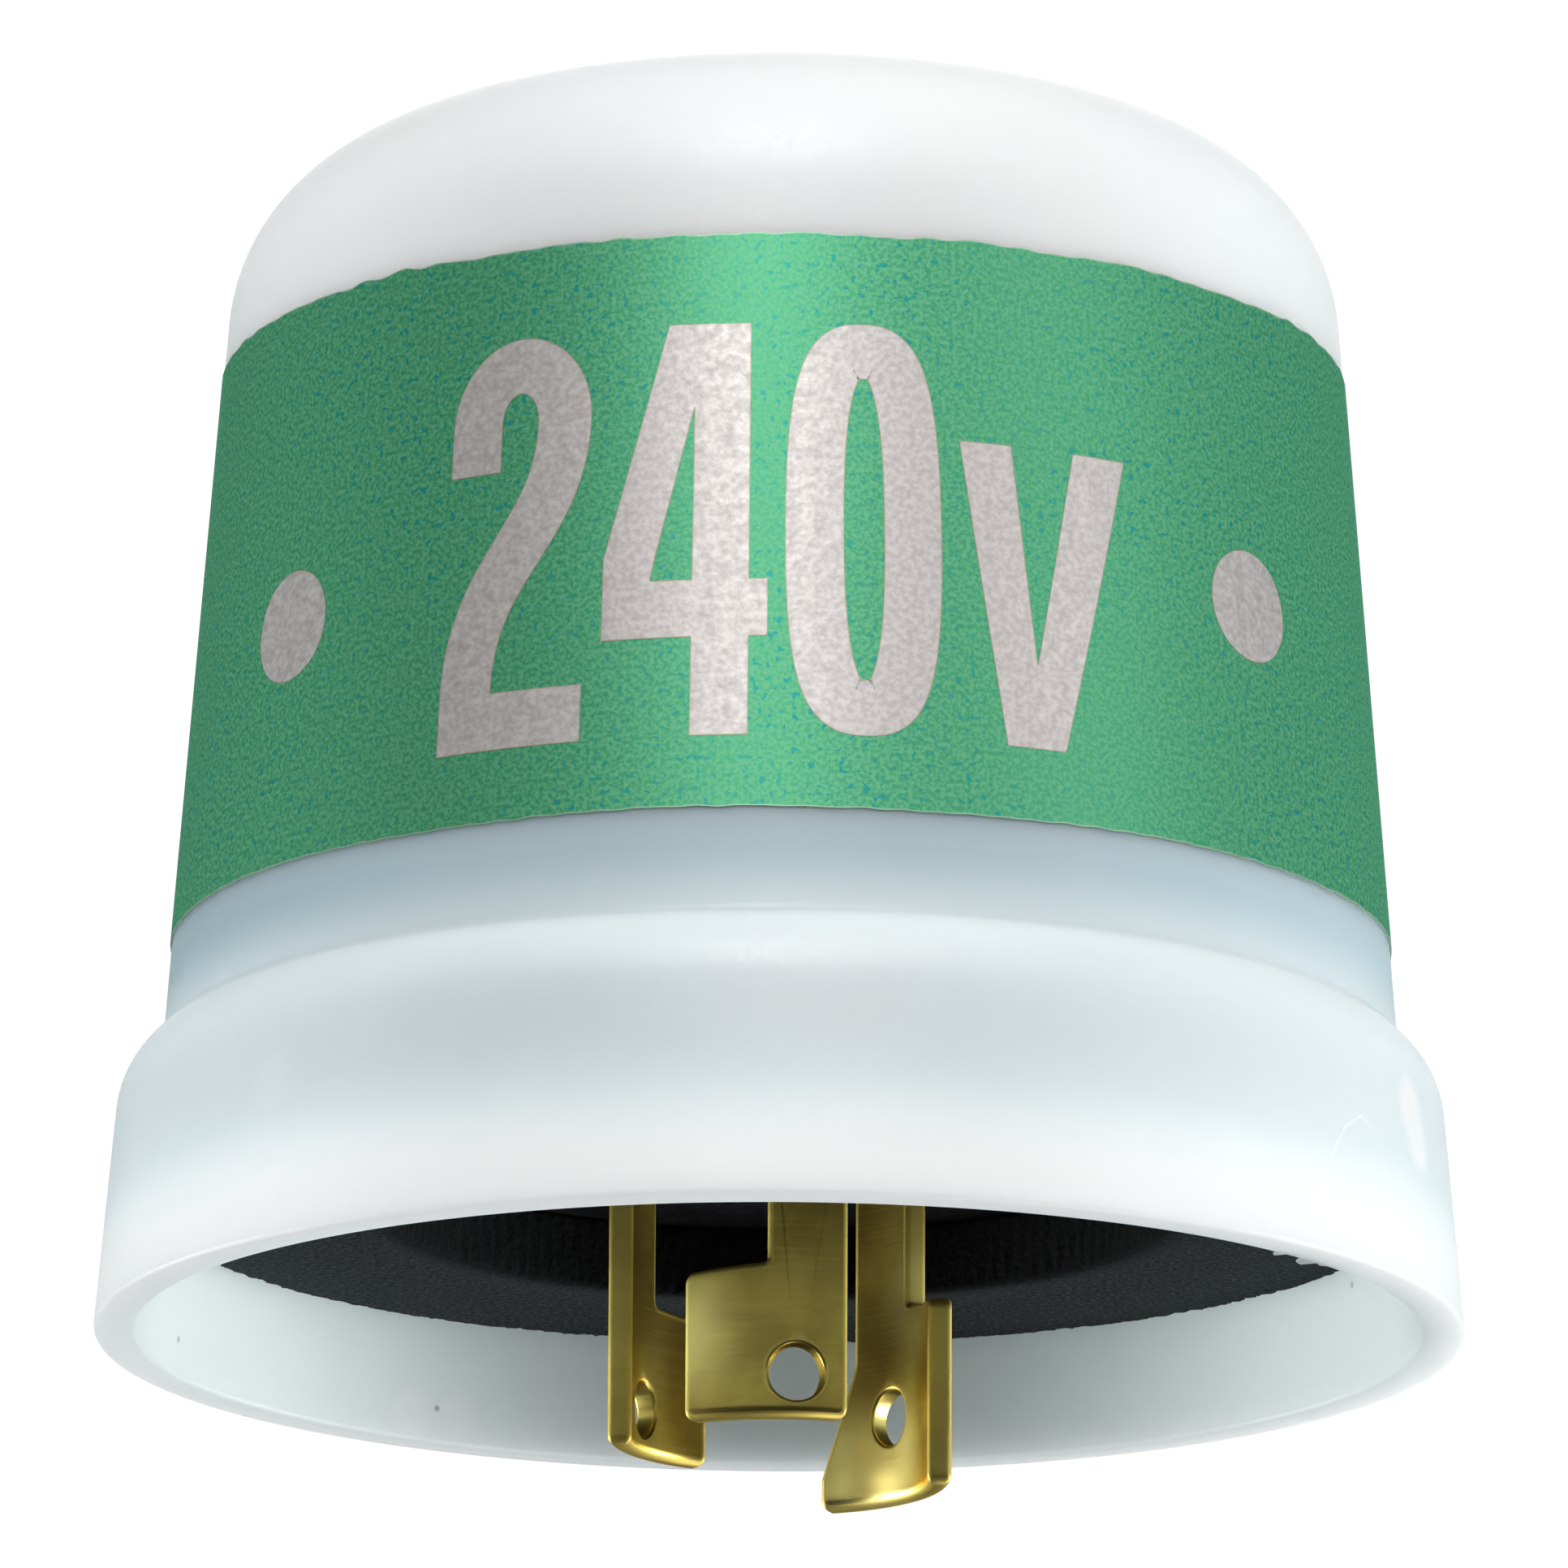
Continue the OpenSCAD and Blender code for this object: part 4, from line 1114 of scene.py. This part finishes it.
@dataclass
class FoamRing:
    """The foam ring on the base: a soft ring with rough cut edges and notches for the cover's catches."""

    cover: Cover
    inner: float = 24.0
    outer: float = 38.15
    thick: float = 4.5
    soft: float = 0.35
    rough: float = 0.26
    wave: float = 0.03
    wall_band: float = 7.0
    notch_gap: float = 1.5
    notch_in: float = 1.2
    notch_low: float = 1.2
    steps: int = 900

    def section(self) -> np.ndarray:
        """The ring's section: a box with rounded corners.

        Returns:
            Points of a closed outline in radius and height.
        """
        soft, thick = self.soft, self.thick
        return np.vstack([
            line((self.outer - soft, 0), (self.inner + soft, 0), 14),
            arc((self.inner + soft, soft), soft, 270, 180, 5),
            line((self.inner, soft), (self.inner, thick - soft), 5),
            arc((self.inner + soft, thick - soft), soft, 180, 90, 5),
            line((self.inner + soft, thick), (self.outer - soft, thick), 8),
            arc((self.outer - soft, thick - soft), soft, 90, 0, 5),
            line((self.outer, thick - soft), (self.outer, soft), 9),
            arc((self.outer - soft, soft), soft, 0, -90, 5),
        ])

    def build(self) -> None:
        """Builds and dresses the ring: its section carried round, its walls stirred by seeded ripples."""
        section, thick = self.section(), self.thick
        angle = np.arange(self.steps) * 360 / self.steps
        radius = section[:, 0, None] + 0 * angle
        height = section[:, 1, None] + 0 * angle
        mean_r = (self.outer + self.inner) / 2
        side = np.clip((radius - mean_r) / self.wall_band, -1, 1) ** 5
        lean = math.tan(math.radians(self.cover.skirt_draft))
        radius = radius + np.clip(side, 0, 1) * (thick - height) * lean
        coarse = np.abs(ripple(angle + 4 * height, 11, 50, 120))
        fine = np.abs(ripple(angle - 5 * height, 12, 150, 260))
        radius = radius - self.rough * (coarse + 0.6 * fine) * np.where(side > 0, side, 0.3 * side)
        wave = self.wave * np.clip(ripple(angle + 3 * radius, 13, 10, 60), -1, 1)
        height = np.clip(height + wave * (height < 0.01), 0.0, thick)
        for middle in self.cover.catch_angles:
            off = np.abs((angle - middle + 180) % 360 - 180)
            near = np.clip((self.cover.catch_arc / 2 + self.notch_gap - off) / 0.6, 0, 1)
            cut = near * np.clip((height - self.notch_low) / 0.4, 0, 1) * (radius > self.outer - 2)
            radius = np.where(cut > 0, np.minimum(radius, self.outer - self.notch_in * cut), radius)
        shell = Shell()
        shell.add_tube(on_circle(radius, angle, height), mark=np.clip(-side, 0, 1))
        piece = shell.build("foam_ring", crease=60)
        dress(piece, FoamFinish().make("black foam"))
        enter(piece, HOUSING, "gasket")


@dataclass
class Blade:
    """A curved L-shaped plug blade: a plate with a detent hole, bent round the axis, and a tab."""

    name: str
    node: str
    foot_start: float
    stem_start: float
    stem_end: float
    foot_end: float
    tip: float
    raise_by: float
    flared: bool = False
    radius: float = 10.6
    thick: float = 1.5
    foot_drop: float = 5.0
    foot_slope: float = 5.0
    hole_d: float = 3.5
    hole_drop: float = 11.8
    hole_turn: float = 4.0
    flare_h: float = 9.0
    flare_land: float = 2.0
    flare_rounds: tuple[float, float] = (0.5, 2.0)
    corner: float = 0.75
    step_round: float = 0.35
    neck_round: float = 0.1
    edge: float = 0.36
    lip: float = 0.22
    lead_in: float = 0.7
    base_top: float = 7.7
    neck: float = 6.0
    tab_w: float = 5.0
    tab_end: float = 21.2
    tab_slip: float = 0.02

    def hole_angle(self) -> float:
        """Plug angle of the detent hole."""
        return (self.stem_start + self.stem_end) / 2 - self.hole_turn

    def corners(self) -> tuple[np.ndarray, np.ndarray]:
        """The flat outline's corners and roundings.

        Returns:
            Corners in millimetres across and up from the hole, counter-clockwise, and their radii.
        """
        spread = math.radians(1.0) * self.radius
        left, start, end, right = (
            (a - self.hole_angle()) * spread
            for a in (self.foot_start, self.stem_start, self.stem_end, self.foot_end)
        )
        top = self.raise_by - self.foot_drop
        reach = self.radius * math.sin((start - left) / self.radius)
        low = top - reach * math.tan(math.radians(self.foot_slope))
        shape = [(left, self.tip), (right, self.tip)]
        radii = [self.corner, self.corner]
        if self.flared:
            shape += [(right, self.tip + self.flare_land), (end, self.tip + self.flare_h)]
            radii += self.flare_rounds
        shape += [(end, self.neck), (start, self.neck), (start, top), (left, low)]
        radii += [self.neck_round, self.neck_round, self.step_round, self.corner]
        return np.array(shape) - np.array([0.0, self.raise_by - self.hole_drop]), np.array(radii)

    def outline(self, step: float = 0.45) -> tuple[np.ndarray, np.ndarray]:
        """The outline with each corner replaced by an arc that touches both its edges.

        Args:
            step: Distance between points on the edges.

        Returns:
            Points and outward normals.
        """
        shape, radii = self.corners()
        points, normals = [], []
        ends = []
        for i, radius in enumerate(radii):
            here, before, after = shape[i], shape[i - 1], shape[(i + 1) % len(shape)]
            into = (here - before) / np.linalg.norm(here - before)
            out = (after - here) / np.linalg.norm(after - here)
            turn = math.atan2(into[0] * out[1] - into[1] * out[0], into @ out)
            trim = radius * math.tan(abs(turn) / 2)
            first = math.atan2(-into[0], into[1])
            swing = first + turn * np.linspace(0, 1, 9)
            normal = np.stack([np.cos(swing), np.sin(swing)], axis=-1)
            side = math.copysign(radius, turn)
            bend = here - into * trim - side * normal[0] + side * normal
            points.append(bend)
            normals.append(normal)
            ends.append((bend[0], bend[-1], normal[-1]))
        for i in range(len(shape)):
            start, end = ends[i][1], ends[(i + 1) % len(shape)][0]
            count = max(1, int(np.linalg.norm(end - start) / step))
            points[i] = np.vstack([points[i], line(start, end, count)])
            normals[i] = np.vstack([normals[i], np.broadcast_to(ends[i][2], (count, 2))])
        return np.vstack(points), np.vstack(normals)

    def roll(self, outline: np.ndarray, normal: np.ndarray, edge: float) -> tuple[np.ndarray, np.ndarray]:
        """A quarter round along an outline, from a face's border down to the outline itself.

        Args:
            outline: Points of the outline.
            normal: Outward normals there.
            edge: Radius of the rounding.

        Returns:
            Grid of flat positions and their depths below the face, a row for each step of the round.
        """
        quarter = np.linspace(0, np.pi / 2, 7)[:, None, None]
        where = outline - edge * (1 - np.sin(quarter)) * normal
        return where, (edge * (1 - np.cos(quarter)) + 0 * where[..., :1])[..., 0]

    def plate(self) -> tuple[np.ndarray, np.ndarray, np.ndarray]:
        """The plate as one grid that closes both ways, from the hole over the front, the edge and the back.

        A point of a face lies on the line from the hole's rim to the outline. The edges are quarter rounds,
        and at the tip both faces fall back along a larger round, by as much as the lead-in.

        Returns:
            Flat positions, depths below the front face, and edge marks.
        """
        outline, normal = self.outline()
        away = outline / np.linalg.norm(outline, axis=-1, keepdims=True)
        bore, bore_deep = self.roll(away * (self.hole_d / 2), -away, self.lip)
        edge, edge_deep = self.roll(outline, normal, self.edge)
        share = np.linspace(0, 1, 22)[1:-1, None, None]
        face = bore[0] + share * (edge[0] - bore[0])
        half = np.concatenate([bore[::-1], face, edge])
        deep = np.concatenate([bore_deep[::-1], np.zeros(face.shape[:2]), edge_deep])
        mark = np.repeat([0.8, 0.0, 1.0], [len(bore), len(face), len(edge)])[:, None] + 0 * deep
        tip = self.tip - self.raise_by + self.hole_drop
        drop = np.clip(self.lead_in - (half[..., 1] - tip), 0, self.lead_in)
        deep = np.maximum(deep, self.lead_in - np.sqrt(self.lead_in ** 2 - drop ** 2))
        mark = np.maximum(mark, 0.9 * drop / self.lead_in)
        where = np.concatenate([half, half[::-1]])
        return where, np.concatenate([deep, self.thick - deep[::-1]]), np.concatenate([mark, mark[::-1]])

    def bend(self, across: np.ndarray, up: np.ndarray, deep: np.ndarray) -> np.ndarray:
        """Bends flat positions round the axis: across becomes an angle, depth is taken from the radius."""
        angle = self.hole_angle() + np.degrees(across / self.radius)
        return on_circle(self.radius - deep, angle, up)

    def tab(self) -> tuple[np.ndarray, np.ndarray]:
        """The stem's top and the tab, bent outwards over the base.

        Returns:
            Grids of the lower and the upper face.
        """
        turn = np.radians(np.linspace(0, 90, 9))
        low = np.stack([self.radius + 0 * turn, self.base_top + 0 * turn], axis=-1)
        high = low + self.thick * np.stack([-np.cos(turn), np.sin(turn)], axis=-1)
        foot, end = np.array([self.radius, self.neck - 0.1]), np.array([self.tab_end, self.base_top])
        slip = np.linspace(-self.tab_slip, self.tab_slip, len(turn))[:, None]
        low = np.vstack([foot, low + slip, end])
        high = np.vstack([foot - [self.thick, 0], high, end + [0, self.thick]])
        side = np.linspace(-0.5, 0.5, 5) * self.tab_w
        middle = math.radians((self.stem_start + self.stem_end) / 2)
        out = np.array([math.sin(middle), -math.cos(middle)])
        across = np.array([math.cos(middle), math.sin(middle)])
        faces = []
        for face in (low, high):
            reach = np.sqrt(face[:, 0, None] ** 2 - side ** 2)
            flat = reach[..., None] * out + side[None, :, None] * across
            rise = np.broadcast_to(face[:, 1, None, None], flat.shape[:2] + (1,))
            faces.append(np.concatenate([flat, rise], axis=-1))
        return faces[0], faces[1]

    def build(self, material: bpy.types.Material) -> None:
        """Builds and dresses the blade.

        Args:
            material: The blades' brass.
        """
        flat, deep, mark = self.plate()
        up = flat[..., 1] + self.raise_by - self.hole_drop
        shell = Shell()
        uv = np.stack([flat[..., 0] + self.foot_start, up], axis=-1)
        shell.add_tube(self.bend(flat[..., 0], up, deep), uv, mark)
        shell.add_plate(*self.tab())
        piece = shell.build(self.name, crease=55)
        dress(piece, material)
        enter(piece, HOUSING, self.node)


@dataclass
class SoftBox:
    """A soft rectangular studio light that faces the part."""

    name: str
    azimuth: float
    elevation: float
    distance: float
    width: float
    tall: float
    power: float
    colour: Colour = (1.0, 1.0, 1.0)
    aim: tuple[float, float, float] = (0.0, 0.0, 0.03)

    def build(self) -> None:
        """Builds the light, at its angle from the front, turned to its aim."""
        lamp = bpy.data.lights.new(self.name, "AREA")
        lamp.shape = "RECTANGLE"
        lamp.size, lamp.size_y = self.width, self.tall
        lamp.energy = self.power
        lamp.color = self.colour
        light = bpy.data.objects.new(self.name, lamp)
        rise = math.radians(self.elevation)
        place = on_circle(np.array(math.cos(rise)), np.array(self.azimuth), np.array(math.sin(rise)))
        light.location = Vector(self.aim) + self.distance * Vector(place)
        light.rotation_euler = (Vector(self.aim) - light.location).to_track_quat("-Z", "Y").to_euler()
        bpy.context.scene.collection.objects.link(light)


@dataclass
class Studio:
    """The camera, the lights and the white surround."""

    camera_at: tuple[float, float, float] = (0.0, -0.7651, -0.1663)
    look_up: float = 13.85
    roll: float = 0.28
    lens_share: float = 8.1175
    shift: tuple[float, float] = (0.0017, 0.0515)
    sensor: float = 36.0
    surround_r: float = 6.0
    surround_glow: float = 1.05
    room: Colour = (0.90, 0.97, 1.0)
    ambient: float = 0.03
    boxes: tuple[SoftBox, ...] = (
        SoftBox("front_box", -5.0, 43.0, 1.2, 0.36, 0.55, 13.6),
        SoftBox("right_box", 88.0, 28.0, 1.3, 0.6, 0.7, 0.5),
        SoftBox("near_right_box", 45.0, 30.0, 1.2, 0.4, 0.5, 1.9),
        SoftBox("near_left_box", -50.0, 12.0, 1.0, 0.16, 0.3, 0.2),
        SoftBox("low_left_box", -108.0, -21.0, 0.7, 0.35, 0.3, 3.8, (0.92, 0.985, 1.0)),
        SoftBox("low_right_box", 108.0, -20.0, 0.7, 0.35, 0.3, 4.4, (0.92, 0.985, 1.0)),
        SoftBox("right_glint", 60.0, 10.0, 0.7, 0.10, 0.12, 0.8),
        SoftBox("left_glint", -92.0, -2.0, 0.7, 0.09, 0.07, 0.45),
        SoftBox("back_box", 180.0, 30.0, 1.0, 0.5, 0.4, 1.5),
        SoftBox("below_box", 100.0, -66.0, 0.5, 0.2, 0.2, 0.7),
    )

    def camera(self) -> None:
        """Places the camera below the part, looking up at it, with the long lens of the view."""
        data = bpy.data.cameras.new("view")
        data.sensor_fit = "HORIZONTAL"
        data.sensor_width = self.sensor
        data.lens = self.lens_share * self.sensor
        data.shift_x, data.shift_y = self.shift
        data.clip_start, data.clip_end = 0.01, 50.0
        data.dof.use_dof = False
        camera = bpy.data.objects.new("view", data)
        tilt = Matrix.Rotation(math.radians(90 + self.look_up), 4, "X")
        turn = Matrix.Rotation(math.radians(self.roll), 4, "Z")
        camera.matrix_world = Matrix.Translation(self.camera_at) @ tilt @ turn
        bpy.context.scene.collection.objects.link(camera)
        bpy.context.scene.camera = camera

    def surround(self) -> None:
        """Builds a white surround that only the camera sees."""
        turn = np.radians(np.linspace(-90, 90, 33))
        tent = Shell()
        tent.add_turned(self.surround_r / MM * np.stack([np.cos(turn), np.sin(turn)], axis=-1), 48)
        tent_piece = tent.build("surround")
        white = bpy.data.materials.new("white surround")
        white.use_nodes = True
        tree = white.node_tree
        tree.nodes.clear()
        glow = tree.nodes.new("ShaderNodeEmission")
        glow.inputs["Strength"].default_value = self.surround_glow
        output = tree.nodes.new("ShaderNodeOutputMaterial")
        tree.links.new(glow.outputs["Emission"], output.inputs["Surface"])
        dress(tent_piece, white)
        for ray in ("diffuse", "glossy", "transmission", "volume_scatter", "shadow"):
            setattr(tent_piece, f"visible_{ray}", False)

    def build(self) -> None:
        """Builds the camera, lights and surround, and sets the view's plain colours."""
        scene = bpy.context.scene
        self.camera()
        for box in self.boxes:
            box.build()
        self.surround()
        world = bpy.data.worlds.new("room")
        world.use_nodes = True
        light = world.node_tree.nodes["Background"].inputs
        light["Color"].default_value = (*self.room, 1.0)
        light["Strength"].default_value = self.ambient
        scene.world = world
        scene.view_settings.view_transform = "Standard"
        scene.view_settings.look = "None"


def main() -> None:
    """Builds the studio and the pieces in order, and dresses the CAD nodes that stay."""
    logging.basicConfig(level=logging.INFO, format="%(name)s: %(message)s")
    Studio().build()
    cover = Cover()
    cover.build()
    Band(cover).build()
    FoamRing(cover).build()
    brass = BladeBrass().make("blade brass")
    for blade in (
        Blade("blade_line", "line_blade", -33.2, -4.0, 23.6, 23.6, -14.6, 0.0),
        Blade("blade_load", "load_blade", 209.0, 236.0, 263.6, 263.6, -14.1, 0.5),
        Blade("blade_neutral", "neutral_blade", 89.0, 120.4, 149.5, 163.3, -16.7, 0.5, flared=True),
    ):
        blade.build(brass)
    for node, finish in FINISHES.items():
        dress(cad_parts[node], finish.make(node.replace("_", " ")))
        LOG.info("%s: dressed", node)


if __name__ == "__main__":
    main()
